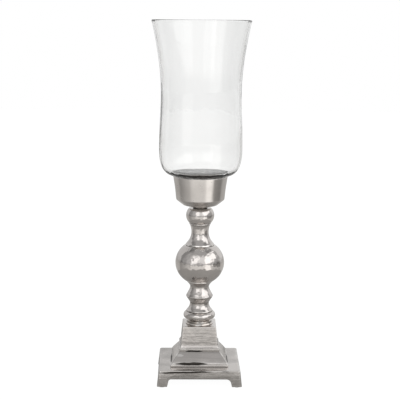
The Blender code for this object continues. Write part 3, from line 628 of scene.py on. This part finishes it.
def upper_column_profile(height):
    """Ball, narrow ring, cove and trumpet-shaped skirt, from the top down."""
    radius, half_height, top_flat, bottom_flat = 0.0240, 0.0205, 0.0190, 0.0189
    middle = height - half_height * math.sqrt(1 - (top_flat / radius) ** 2)
    ball_bottom = middle - half_height * math.sqrt(1 - (bottom_flat / radius) ** 2)
    ring_bottom = ball_bottom - 0.0028
    waist = ring_bottom - 0.0131
    inner, ring, ring_edge, groove = 0.0174, 0.0184, 0.0010, 0.0005
    narrow, wide = 0.0147, 0.0245
    points = bulge(radius, half_height, middle, top_flat, bottom_flat, 48)
    points += [(inner, ball_bottom - groove / 2)]
    points += outline([
        (0, ball_bottom - groove), (ring, ball_bottom - groove, ring_edge), (ring, ring_bottom, ring_edge),
        (0, ring_bottom),
    ])[1:-1]
    points += sweep(
        (inner, ring_bottom), (narrow + (inner - narrow) * 0.55, ring_bottom - 0.0033),
        (narrow, ring_bottom - 0.0079), (narrow, waist),
    )
    points += sweep(
        (narrow, waist), (narrow, waist - 0.0076), (narrow + (wide - narrow) * 0.28, waist - 0.0134),
        (wide - 0.0007, 0.0021), 20,
    )
    return points + [(wide - 0.0006, 0.0019), (wide, 0.0003), (wide - 0.0003, 0)]


def make_upper_column():
    bottom, height = column_span("upper_column")
    shape = lathe(upper_column_profile(height) + spigot_and_bore(height), SLIM_STEPS, bottom)
    finish_piece("turned_upper_column", shape, NICKEL, "stand", "polished_nickel", "upper_column")


def make_cup_spacer():
    """The neck under the cup, darkened with painted shade."""
    bottom, height = column_span("cup_spacer")
    radius, edge = 0.0125, 0.0003
    points = outline([(BORE_RADIUS, height), (radius, height, edge), (radius, 0, edge), (SPIGOT_RADIUS, 0)])
    shape = lathe(points[1:-1] + spigot_and_bore(height, with_recess=False), SLIM_STEPS, bottom)
    # Painted shade: the neck is darkened as if it lay in the cup's shadow
    neck_painted_shade = shape.verts.layers.float.new("inner_painted_shade")
    for vert in shape.verts:
        vert[neck_painted_shade] = 0.8
    finish_piece("cup_neck", shape, COLLAR_NICKEL, "stand", "collar_nickel", "cup_spacer")


# Cup and glass
CUP_RIM = 0.0463
CUP_MOUTH = 0.0433
CUP_SEAT_DEPTH = 0.0085
CUP_SEAT_WIDTH = 0.0048


def make_cup():
    """A flared cup with a chamfered foot, a mouth for the glass, and painted shade inside."""
    low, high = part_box("cup")
    height = high.z - low.z
    seat = height - CUP_SEAT_DEPTH
    shoulder, z_shoulder, base = 0.0410, 0.0098, 0.0286
    hollow_shoulder, z_hollow, hollow_base, floor = 0.0368, 0.0118, 0.0265, 0.0040
    lip, turn, seat_edge, flare, flare_bend = 0.0012, 0.0030, 0.0004, 0.0006, 0.2
    points = outline([
        (CUP_MOUTH, height, lip), (CUP_RIM, height, lip),
        ((CUP_RIM + shoulder) / 2 - flare, (height + z_shoulder) / 2, flare_bend),
        (shoulder, z_shoulder, turn), (base, 0, turn), (BORE_RADIUS, 0), (BORE_RADIUS, floor),
        (hollow_base, floor, lip), (hollow_shoulder, z_hollow, turn),
        (CUP_MOUTH - CUP_SEAT_WIDTH, seat, seat_edge), (CUP_MOUTH, seat, seat_edge),
    ], closed=True, steps=8)
    shape = lathe(points, WIDE_STEPS, low.z)
    # Painted shade: the inside of the cup below the glass is darkened, as it lies out of the light
    shaded_inside = shape.verts.layers.float.new("inner_painted_shade")
    for vert in shape.verts:
        level = vert.co.z - low.z
        wall = CUP_MOUTH + 0.0002
        if level < seat - 0.0005:
            wall = min(0.0400, hollow_base + level)
        inside = level > floor - 0.0005 and math.hypot(vert.co.x, vert.co.y) < wall
        vert[shaded_inside] = 1.0 if inside else 0.0
    finish_piece("turned_cup", shape, CUP_NICKEL, "stand", "polished_nickel", "cup")


def make_seat_ring():
    low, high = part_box("seat_ring")
    height = high.z - low.z
    outer, inner = CUP_MOUTH - 0.0003, CUP_MOUTH - CUP_SEAT_WIDTH
    top_edge, edge = 0.0004, 0.0003
    points = outline([
        (outer, height, top_edge), (outer, 0, edge), (inner, 0, edge), (inner, height, top_edge),
    ], closed=True, steps=4)
    finish_piece("seat_ring_rubber", lathe(points, WIDE_STEPS, low.z), RUBBER, "stand", "rubber", "seat_ring")


def glass_profile(height):
    """Up the inside from the middle of the floor, over the rim and down the outside to the foot."""
    foot, wall, floor, foot_round = CUP_MOUTH - 0.0016, 0.0030, 0.0126, 0.0016
    rim, waist, belly = 0.0836, 0.0677, 0.0704
    z_waist, z_belly, z_shoulder = 0.1470, 0.0535, 0.0073
    flare, drop, fall = height - z_waist, z_waist - z_belly, z_belly - z_shoulder
    rim_pull, z_rim_pull = (rim - waist) * 0.56, height - flare * 0.32
    flat, inner_belly, inner_waist = foot + 0.0048, belly - wall, waist - wall
    points = [(0, floor), (flat / 2, floor), (flat, floor)]
    points += sweep(
        (flat, floor), (foot + (belly - foot) * 0.75, floor),
        (inner_belly, z_belly - (z_belly - floor) * 0.6), (inner_belly, z_belly), 28,
    )
    points += sweep(
        (inner_belly, z_belly), (inner_belly, z_belly + drop * 0.35), (inner_waist, z_waist - drop * 0.35),
        (inner_waist, z_waist), 20,
    )
    points += sweep(
        (inner_waist, z_waist), (inner_waist, z_waist + flare * 0.3), (rim - wall - rim_pull, z_rim_pull),
        (rim - wall, height - wall * 0.5), 28,
    )
    lip, lip_steps = wall / 2, 8
    for i in range(1, lip_steps + 1):
        angle = math.pi * (1 - i / lip_steps)
        points.append((rim - lip + lip * math.cos(angle), height - lip + lip * math.sin(angle)))
    points += sweep(
        points[-1], (rim - rim_pull, z_rim_pull), (waist, z_waist + flare * 0.3), (waist, z_waist), 28
    )
    points += sweep(
        (waist, z_waist), (waist, z_waist - drop * 0.35), (belly, z_belly + drop * 0.35), (belly, z_belly), 20
    )
    points += sweep(
        (belly, z_belly), (belly, z_belly - fall * 0.485),
        (foot + (belly - foot) * 0.88, z_shoulder + fall * 0.06), (foot + 0.0045, z_shoulder), 28,
    )
    return points + outline([(foot, z_shoulder - foot_round), (foot, 0, foot_round), (0, 0)])


def make_glass_shade():
    low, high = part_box("glass_shade")
    shape = lathe(glass_profile(high.z - low.z), WIDE_STEPS, low.z, closed=False)
    finish_piece(
        "blown_glass_shade", shape, GLASS, "glass", "clear_glass", "glass_shade", relief=False, sharp=70
    )


# Square castings
def extrude_face(shape, face):
    """Draws one face out of a shape, still in place, and gives the new face."""
    grown = bmesh.ops.extrude_face_region(shape, geom=[face, *face.edges, *face.verts])["geom"]
    return next(part for part in grown if isinstance(part, bmesh.types.BMFace))


def squared(profile, corner_round, bottom, steps=8):
    """A square shape drawn up ring by ring from its foot. The profile gives half the width at each height,
    from the top down, and the corners are rounded in proportion to the width."""
    half, level = profile[-1]
    shape = bmesh.new()
    bmesh.ops.create_grid(
        shape, x_segments=1, y_segments=1, size=half, matrix=Matrix.Translation((0, 0, level + bottom))
    )
    bmesh.ops.bevel(
        shape, geom=shape.verts[:], offset=corner_round, offset_type="OFFSET", segments=steps,
        profile=0.5, affect="VERTICES", clamp_overlap=True, material=-1,
    )
    top = shape.faces[:][0]
    for next_half, next_level in reversed(profile[:-1]):
        top = extrude_face(shape, top)
        ring = top.verts[:]
        bmesh.ops.scale(shape, vec=(next_half / half, next_half / half, 1), verts=ring)
        bmesh.ops.translate(shape, vec=(0, 0, next_level - level), verts=ring)
        half, level = next_half, next_level
    bmesh.ops.recalc_face_normals(shape, faces=shape.faces)
    return shape


def pedestal_profile(height):
    """Tapered block, a sweep out to a narrow band, a full sloping skirt and a square foot bead."""
    top, waist, band, foot, groove = 0.0286, 0.0312, 0.0345, 0.0490, 0.0007
    z_waist = height - 0.0300
    z_band = z_waist - 0.0069
    z_skirt = z_band - 0.0046
    z_foot = 0.0044
    sweep_end = band - 2 * groove
    skirt_end = foot - 1.7 * groove
    spread, drop = skirt_end - band, z_skirt - z_foot
    top_edge, band_edge, foot_edge = 0.0010, 0.0006, 0.0012
    points = outline([
        (0, height), (top, height, top_edge), (top, height - 0.0028), (waist, z_waist + 0.0025),
    ])[1:]
    points += [(waist, z_waist)]
    points += sweep(
        (waist, z_waist), (waist + groove / 3, z_waist - 0.0038), (sweep_end - groove, z_band + 3 * groove),
        (sweep_end, z_band + groove), 10,
    )
    points += outline([
        (sweep_end, z_band + groove), (sweep_end, z_band), (band, z_band, band_edge),
        (band, z_skirt, band_edge), (band - groove, z_skirt),
    ])[1:]
    points += sweep(
        (band - groove, z_skirt), (band + spread * 0.3, z_skirt - drop * 0.28),
        (band + spread * 0.74, z_skirt - drop * 0.62), (skirt_end, z_foot + groove), 16,
    )
    return points + outline([
        (skirt_end, z_foot + groove), (skirt_end, z_foot), (foot, z_foot, foot_edge), (foot, 0),
    ])[1:]


def make_pedestal():
    """The stepped casting, hollowed from below in two stages."""
    corner_round, wall = 0.0022, 0.0060
    shape = squared(pedestal_profile(PEDESTAL_TOP - PEDESTAL_BOTTOM), corner_round, PEDESTAL_BOTTOM)
    underside = min(shape.faces, key=lambda face: face.calc_center_median().z)
    bmesh.ops.inset_region(shape, faces=[underside], thickness=wall)
    for lift, width in ((0.0280, 0.60), (0.0300, 0.90)):
        underside = extrude_face(shape, underside)
        bmesh.ops.scale(shape, vec=(width, width, 1), verts=underside.verts[:])
        bmesh.ops.translate(shape, vec=(0, 0, lift), verts=underside.verts[:])
    add_cuts(shape, (-0.0420, -0.0250, 0.0250, 0.0420))
    finish_piece("cast_pedestal", shape, CAST_NICKEL, "stand", "polished_nickel", "pedestal", sharp=28)


def arch_cutter(turn):
    """The opening under one pair of the plinth's sides, rounder at one end: its outline drawn through."""
    half, tall, slant, left_round, right_round, past = 0.05455, 0.0127, 0.0030, 0.0040, 0.0080, 0.1
    points = outline([
        (-half - slant, -tall), (-half + slant, tall, left_round), (half - slant, tall, right_round),
        (half + slant, -tall),
    ], closed=True, steps=10)
    shape = bmesh.new()
    face = shape.faces.new([shape.verts.new((x, -past, z + PLINTH_BOTTOM)) for x, z in points])
    grown = bmesh.ops.extrude_face_region(shape, geom=[face])["geom"]
    drawn = [part for part in grown if isinstance(part, bmesh.types.BMVert)]
    bmesh.ops.translate(shape, vec=(0, 2 * past, 0), verts=drawn)
    bmesh.ops.rotate(shape, verts=shape.verts, cent=(0, 0, 0), matrix=Matrix.Rotation(turn, 3, "Z"))
    bmesh.ops.recalc_face_normals(shape, faces=shape.faces)
    return place_object("cutter", shape)


def hollow_cutter():
    """The room inside the plinth, with its corners left solid over the feet."""
    roof, below, roof_size, foot_size, gusset = 0.0227, -0.0045, 0.1291, 0.1353, 0.0280
    shape = bmesh.new()
    bmesh.ops.create_cube(shape, size=1)
    for vert in shape.verts:
        upper = vert.co.z > 0
        size = roof_size if upper else foot_size
        vert.co = Vector((vert.co.x * size, vert.co.y * size, PLINTH_BOTTOM + (roof if upper else below)))
    upright = [edge for edge in shape.edges if abs(edge.verts[0].co.z - edge.verts[1].co.z) > roof / 2]
    bmesh.ops.bevel(
        shape, geom=upright, offset=gusset, offset_type="OFFSET", segments=1, profile=0.5, affect="EDGES",
        clamp_overlap=True, material=-1,
    )
    return place_object("cutter", shape)


def make_plinth():
    """A shallow shell with flared sides, arched between its feet, all its sharp arrises lightly rounded."""
    height = PLINTH_TOP - PLINTH_BOTTOM
    top_half, foot_half, top_edge, corner_round, arris = 0.06855, 0.07165, 0.0016, 0.0035, 0.0006
    profile = outline([(0, height), (top_half, height, top_edge), (foot_half, 0)], steps=8)[1:]
    body = place_object("plinth_body", squared(profile, corner_round, PLINTH_BOTTOM))
    cutters = [hollow_cutter(), arch_cutter(0), arch_cutter(math.pi / 2)]
    for cutter in cutters:
        step = body.modifiers.new("Opening", "BOOLEAN")
        step.operation = "DIFFERENCE"
        step.object = cutter
    rounding = body.modifiers.new("Arris", "BEVEL")
    rounding.limit_method = "ANGLE"
    rounding.angle_limit = math.radians(50)
    rounding.width = arris
    rounding.segments = 3
    shape = bmesh.new()
    shape.from_object(body, bpy.context.evaluated_depsgraph_get())
    for extra in [body, *cutters]:
        bpy.data.objects.remove(extra)
    add_cuts(shape, (-0.0640, -0.0480, 0.0480, 0.0640), (PLINTH_BOTTOM + 0.0155, PLINTH_TOP - 0.0045))
    finish_piece("cast_plinth", shape, FOOT_NICKEL, "stand", "polished_nickel", "plinth", sharp=35)


def make_foot_pads():
    """Four round felt pads, one under each foot."""
    for place in ("front_left", "front_right", "back_left", "back_right"):
        node = "foot_pad_" + place
        low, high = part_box(node)
        radius, height, edge = (high.x - low.x) / 2, high.z - low.z, 0.0003
        points = outline([(0, height), (radius, height, edge), (radius, 0, edge), (0, 0)], steps=3)
        shape = lathe(points, SMALL_STEPS, low.z, closed=False)
        centre = (low + high) / 2
        bmesh.ops.translate(shape, vec=(centre.x, centre.y, 0), verts=shape.verts)
        finish_piece("felt_pad_" + place, shape, FELT, "stand", "felt", node, relief=False)


# Rod, nuts and washers
def thread_profile(radius, start, end, pitch):
    """V grooves of a thread between two heights, from the top down."""
    count = round((start - end) / pitch)
    points = []
    for i in range(count):
        level = start - i * pitch
        points.append((radius, level - pitch * 0.1))
        points.append((radius - pitch * 0.5, level - pitch * 0.5))
        points.append((radius, level - pitch * 0.9))
    return points


def make_tie_rod():
    """A rod threaded at both ends."""
    low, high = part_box("tie_rod")
    length, radius, chamfer, pitch = high.z - low.z, 0.0030, 0.0006, 0.0010
    upper_thread, lower_thread = 0.0150, 0.0160
    points = [(0, length), (radius - chamfer, length), (radius, length - chamfer)]
    points += thread_profile(radius, length - pitch, length - upper_thread, pitch)
    points += thread_profile(radius, lower_thread, pitch, pitch)
    points += [(radius, chamfer), (radius - chamfer, 0), (0, 0)]
    shape = lathe(points, SMALL_STEPS, low.z, closed=False)
    finish_piece("threaded_tie_rod", shape, ZINC_STEEL, "stand", "zinc_steel", "tie_rod")


def make_washer(name, node):
    low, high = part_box(node)
    radius, height = (high.x - low.x) / 2, high.z - low.z
    edge, bore_edge = 0.0003, 0.0002
    points = outline([
        (radius, height, edge), (radius, 0, edge), (BORE_RADIUS, 0, bore_edge),
        (BORE_RADIUS, height, bore_edge),
    ], closed=True, steps=3)
    shape = lathe(points, SMALL_STEPS, low.z)
    finish_piece(name, shape, ZINC_STEEL, "stand", "zinc_steel", node)


def make_lock_washer():
    """A spring washer: a square-sectioned ring, cut through and slightly sprung."""
    low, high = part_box("base_lock_washer")
    height, radius, slot, lift = high.z - low.z, 0.0055, 0.0012, 0.0002
    gap = slot / ((radius + BORE_RADIUS) / 2)
    shape = bmesh.new()
    corners = [(BORE_RADIUS, 0), (radius, 0), (radius, height - lift), (BORE_RADIUS, height - lift)]
    face = shape.faces.new([shape.verts.new((x, 0, z + low.z)) for x, z in corners])
    bmesh.ops.spin(
        shape, geom=[face, *face.edges, *face.verts], cent=(0, 0, 0), axis=(0, 0, 1),
        dvec=(0, 0, lift / SMALL_STEPS), angle=math.tau - gap, steps=SMALL_STEPS, use_merge=False,
        use_duplicate=False,
    )
    bmesh.ops.rotate(shape, verts=shape.verts, cent=(0, 0, 0), matrix=Matrix.Rotation(gap / 2, 3, "Z"))
    bmesh.ops.recalc_face_normals(shape, faces=shape.faces)
    finish_piece("spring_washer", shape, ZINC_STEEL, "stand", "zinc_steel", "base_lock_washer")


def make_nut(name, node):
    """A hexagon nut with chamfered corners: a prism kept inside a turned double cone with a bore."""
    low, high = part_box(node)
    height, flats, chamfer, over = high.z - low.z, 0.0100, 0.0004, 0.00001
    corner = flats / 2 / math.cos(math.pi / 6)
    flat_radius = flats * 0.47
    prism = bmesh.new()
    bmesh.ops.create_cone(
        prism, cap_ends=True, segments=6, radius1=corner, radius2=corner, depth=height,
        matrix=Matrix.Translation((0, 0, low.z + height / 2)),
    )
    slope = (corner - flat_radius) * math.tan(math.radians(30))
    rounds = lathe([
        (flat_radius, height + over), (corner + 0.0001, height - slope), (corner + 0.0001, slope),
        (flat_radius, -over), (BORE_RADIUS + chamfer, -over), (BORE_RADIUS, chamfer),
        (BORE_RADIUS, height - chamfer), (BORE_RADIUS + chamfer, height + over),
    ], SMALL_STEPS, low.z)
    body, turned = place_object("nut_prism", prism), place_object("nut_rounds", rounds)
    step = body.modifiers.new("Chamfer", "BOOLEAN")
    step.operation = "INTERSECT"
    step.object = turned
    shape = bmesh.new()
    shape.from_object(body, bpy.context.evaluated_depsgraph_get())
    for extra in (body, turned):
        bpy.data.objects.remove(extra)
    finish_piece(name, shape, ZINC_STEEL, "stand", "zinc_steel", node)


# Studio: the reach of the near table, and the angles from the front between which the room turns white
# as the glass shows it
NEAR_TABLE = 0.45
TABLE_BLEND = 0.04
THROUGH_DARK = 140
THROUGH_WHITE = 165
FLOOR_RADIUS = 6.0
FLOOR_WHITE = 1.12
FLOOR_WHITE_SHARE = 0.87
LIGHT_TARGET = Vector((0.0, 0.0, 0.28))


def way_round(tree, across, back):
    """The angle in degrees from the front, growing to the right, of a place or direction seen from above."""
    turn = math_node(tree, "ARCTAN2", across, times(tree, back, -1.0))
    return times(tree, turn, 180 / math.pi)


def table_glow(tree, across, back):
    """What the lit table beyond the holder's surroundings adds to its paint, as the metal mirrors it."""
    turn = way_round(tree, across, back)
    squares = add_all(tree, times(tree, across, across), times(tree, back, back))
    reach = math_node(tree, "SQRT", squares)
    far_left = times(tree, soft_step(tree, turn, -112, -46), 0.25)
    left = add_all(tree, far_left, times(tree, soft_step(tree, turn, -49, -42), 0.25))
    front = times(tree, left, soft_fall(tree, turn, 54, 66))
    right = times(tree, band(tree, turn, 24, 55, 5), 0.42)
    side = times(tree, band(tree, turn, 60, 104, 8), 0.24)
    edge = times(tree, band(tree, turn, 57, 104, 3), soft_step(tree, across, 0.58, 0.66), 0.34)
    behind = times(tree, soft_step(tree, math_node(tree, "ABSOLUTE", turn), 105, 114), 0.24)
    glow = add_all(tree, front, right, side, behind, times(tree, edge, -1.0))
    return times(tree, soft_step(tree, reach, NEAR_TABLE - TABLE_BLEND, NEAR_TABLE + TABLE_BLEND), glow)


def make_floor():
    """A wide pale floor, white to the eye and through the glass but for the holder's shadow. Metal mirrors a
    dimmer table round the holder, and brighter light on it further out."""
    material = new_material("pale_floor")
    tree = material.node_tree
    path = add_node(tree, "ShaderNodeLightPath")
    place = add_node(tree, "ShaderNodeSeparateXYZ")
    tree.links.new(object_place(tree), place.inputs[0])
    across, back = place.outputs["X"], place.outputs["Y"]
    mirrored = path.outputs["Is Glossy Ray"]
    tint = blend_colours(tree, mirrored, (0.72, 0.715, 0.70, 1.0), (0.45, 0.445, 0.435, 1.0))
    paint = feed(tree, add_node(tree, "ShaderNodeBsdfDiffuse"), Color=tint)
    glow = feed(
        tree, add_node(tree, "ShaderNodeEmission"), Color=(1.0, 0.99, 0.97, 1.0),
        Strength=times(tree, mirrored, table_glow(tree, across, back)),
    )
    lit = add_node(tree, "ShaderNodeAddShader")
    tree.links.new(paint.outputs["BSDF"], lit.inputs[0])
    tree.links.new(glow.outputs["Emission"], lit.inputs[1])
    turn = math_node(tree, "ABSOLUTE", way_round(tree, across, back))
    straight = soft_step(tree, turn, THROUGH_DARK, THROUGH_WHITE)
    clear = times(tree, path.outputs["Is Transmission Ray"], straight)
    seen = math_node(tree, "MAXIMUM", path.outputs["Is Camera Ray"], clear)
    white = add_node(tree, "ShaderNodeEmission")
    feed(tree, white, Color=(1.0, 1.0, 1.0, 1.0), Strength=FLOOR_WHITE)
    shown = add_node(tree, "ShaderNodeMixShader")
    tree.links.new(times(tree, seen, FLOOR_WHITE_SHARE), shown.inputs[0])
    tree.links.new(lit.outputs["Shader"], shown.inputs[1])
    tree.links.new(white.outputs["Emission"], shown.inputs[2])
    feed(tree, add_node(tree, "ShaderNodeOutputMaterial"), Surface=shown.outputs["Shader"])
    shape = bmesh.new()
    bmesh.ops.create_circle(shape, cap_ends=True, segments=96, radius=FLOOR_RADIUS)
    floor = place_object("floor", shape)
    floor.data.materials.append(material)


def mirrored_room(tree, turn, rise):
    """How bright the studio is in each direction above the table, for what the metal mirrors. Turn is the
    angle in degrees from the front, growing to the right, and rise is the angle above the horizon."""
    front = times(tree, soft_step(tree, turn, -106, -42), 0.34)
    right_side = times(tree, soft_step(tree, turn, 52, 64), -0.16)
    left = times(tree, band(tree, turn, -40, -7, 3), band(tree, rise, 5, 41, 5), 0.90)
    middle = times(tree, band(tree, turn, -7, 25, 3), band(tree, rise, 7, 40, 5), 0.38)
    sill = math_node(tree, "SUBTRACT", rise, times(tree, soft_step(tree, turn, 44, 92), 14))
    panel = times(tree, band(tree, turn, 25, 98, 4), soft_step(tree, sill, 2, 12))
    right = times(tree, panel, soft_fall(tree, rise, 42, 52), 1.05)
    above = times(tree, soft_step(tree, rise, 42, 54), -0.14)
    dusk = times(tree, band(tree, rise, -6, 3, 3), -0.12)
    left_back = times(tree, soft_fall(tree, turn, -109, -103), 0.36)
    right_back = times(tree, soft_step(tree, turn, 109, 115), 0.36)
    dim = 0.29
    return add_all(tree, dim, front, right_side, left, middle, right, above, dusk, left_back, right_back)


def make_world():
    """White behind the holder, and for what the metal mirrors a dimmer room with soft bright panels."""
    world = bpy.data.worlds.new("studio")
    bpy.context.scene.world = world
    world.use_nodes = True
    tree = world.node_tree
    tree.nodes.clear()
    path = add_node(tree, "ShaderNodeLightPath")
    way = add_node(tree, "ShaderNodeSeparateXYZ")
    tree.links.new(add_node(tree, "ShaderNodeTexCoord").outputs["Generated"], way.inputs[0])
    turn = way_round(tree, way.outputs["X"], way.outputs["Y"])
    rise = times(tree, math_node(tree, "ARCSINE", way.outputs["Z"]), 180 / math.pi)
    room = mirrored_room(tree, turn, rise)
    straight = soft_step(tree, math_node(tree, "ABSOLUTE", turn), THROUGH_DARK, THROUGH_WHITE)
    through = blend_colours(tree, straight, room, (1.0, 1.0, 1.0, 1.0))
    shown = blend_colours(tree, path.outputs["Is Glossy Ray"], (0.55, 0.55, 0.55, 1.0), room)
    shown = blend_colours(tree, path.outputs["Is Transmission Ray"], shown, through)
    shown = blend_colours(tree, path.outputs["Is Camera Ray"], shown, (1.0, 1.0, 1.0, 1.0))
    light = feed(tree, add_node(tree, "ShaderNodeBackground"), Color=shown, Strength=1.0)
    tree.links.new(light.outputs[0], add_node(tree, "ShaderNodeOutputWorld").inputs["Surface"])


def add_softbox(name, turn, rise, distance, width, height, radiance):
    """A soft lamp aimed at the holder. Turn 0 is in front, and grows towards the viewer's right."""
    lamp = bpy.data.lights.new(name, "AREA")
    lamp.shape = "RECTANGLE"
    lamp.size = width
    lamp.size_y = height
    lamp.energy = radiance * math.pi * width * height
    lamp.color = (1.0, 0.985, 0.965)
    turned, risen = math.radians(turn), math.radians(rise)
    flat = distance * math.cos(risen)
    away = Vector((flat * math.sin(turned), -flat * math.cos(turned), distance * math.sin(risen)))
    holder = bpy.data.objects.new(name, lamp)
    holder.location = LIGHT_TARGET + away
    holder.rotation_euler = (-away).to_track_quat("-Z", "Y").to_euler()
    holder.visible_glossy = False
    holder.visible_transmission = False
    bpy.context.scene.collection.objects.link(holder)


def make_lights():
    add_softbox("window_left", -21, 20, distance=2.4, width=1.3, height=1.5, radiance=2.2)
    add_softbox("window_right", 50, 24, distance=2.4, width=1.7, height=1.9, radiance=1.9)
    add_softbox("overhead", 10, 82, distance=2.2, width=1.8, height=1.8, radiance=0.9)


# Camera, as fitted to the photo
VIEW_TURN = math.radians(-1.1)
VIEW_SHIFT = -0.0005
VIEW_DISTANCE = 1.882
VIEW_HEIGHT = 0.6064
VIEW_PITCH = math.radians(9.0)
VIEW_ROLL = math.radians(0.50)
VIEW_LENS = 100.8
SENSOR_WIDTH = 36.0


def make_camera():
    lens = bpy.data.cameras.new("viewer")
    lens.sensor_width = SENSOR_WIDTH
    lens.lens = VIEW_LENS
    lens.clip_start = 0.05
    lens.clip_end = 50.0
    viewer = bpy.data.objects.new("viewer", lens)
    turned = Matrix.Rotation(VIEW_TURN, 4, "Z")
    place = Matrix.Translation((VIEW_SHIFT, -VIEW_DISTANCE, VIEW_HEIGHT))
    tilt = Matrix.Rotation(math.pi / 2 - VIEW_PITCH, 4, "X") @ Matrix.Rotation(VIEW_ROLL, 4, "Z")
    viewer.matrix_world = turned @ place @ tilt
    bpy.context.scene.collection.objects.link(viewer)
    bpy.context.scene.camera = viewer


bpy.context.scene.view_settings.view_transform = "Standard"
make_plinth()
make_pedestal()
make_foot_pads()
make_collar()
make_lower_column()
make_globe()
make_upper_column()
make_cup_spacer()
make_cup()
make_seat_ring()
make_glass_shade()
make_tie_rod()
make_washer("base_washer_round", "base_washer")
make_washer("cup_washer_round", "cup_washer")
make_lock_washer()
make_nut("base_hex_nut", "base_nut")
make_nut("cup_hex_nut", "cup_nut")
make_floor()
make_world()
make_lights()
make_camera()
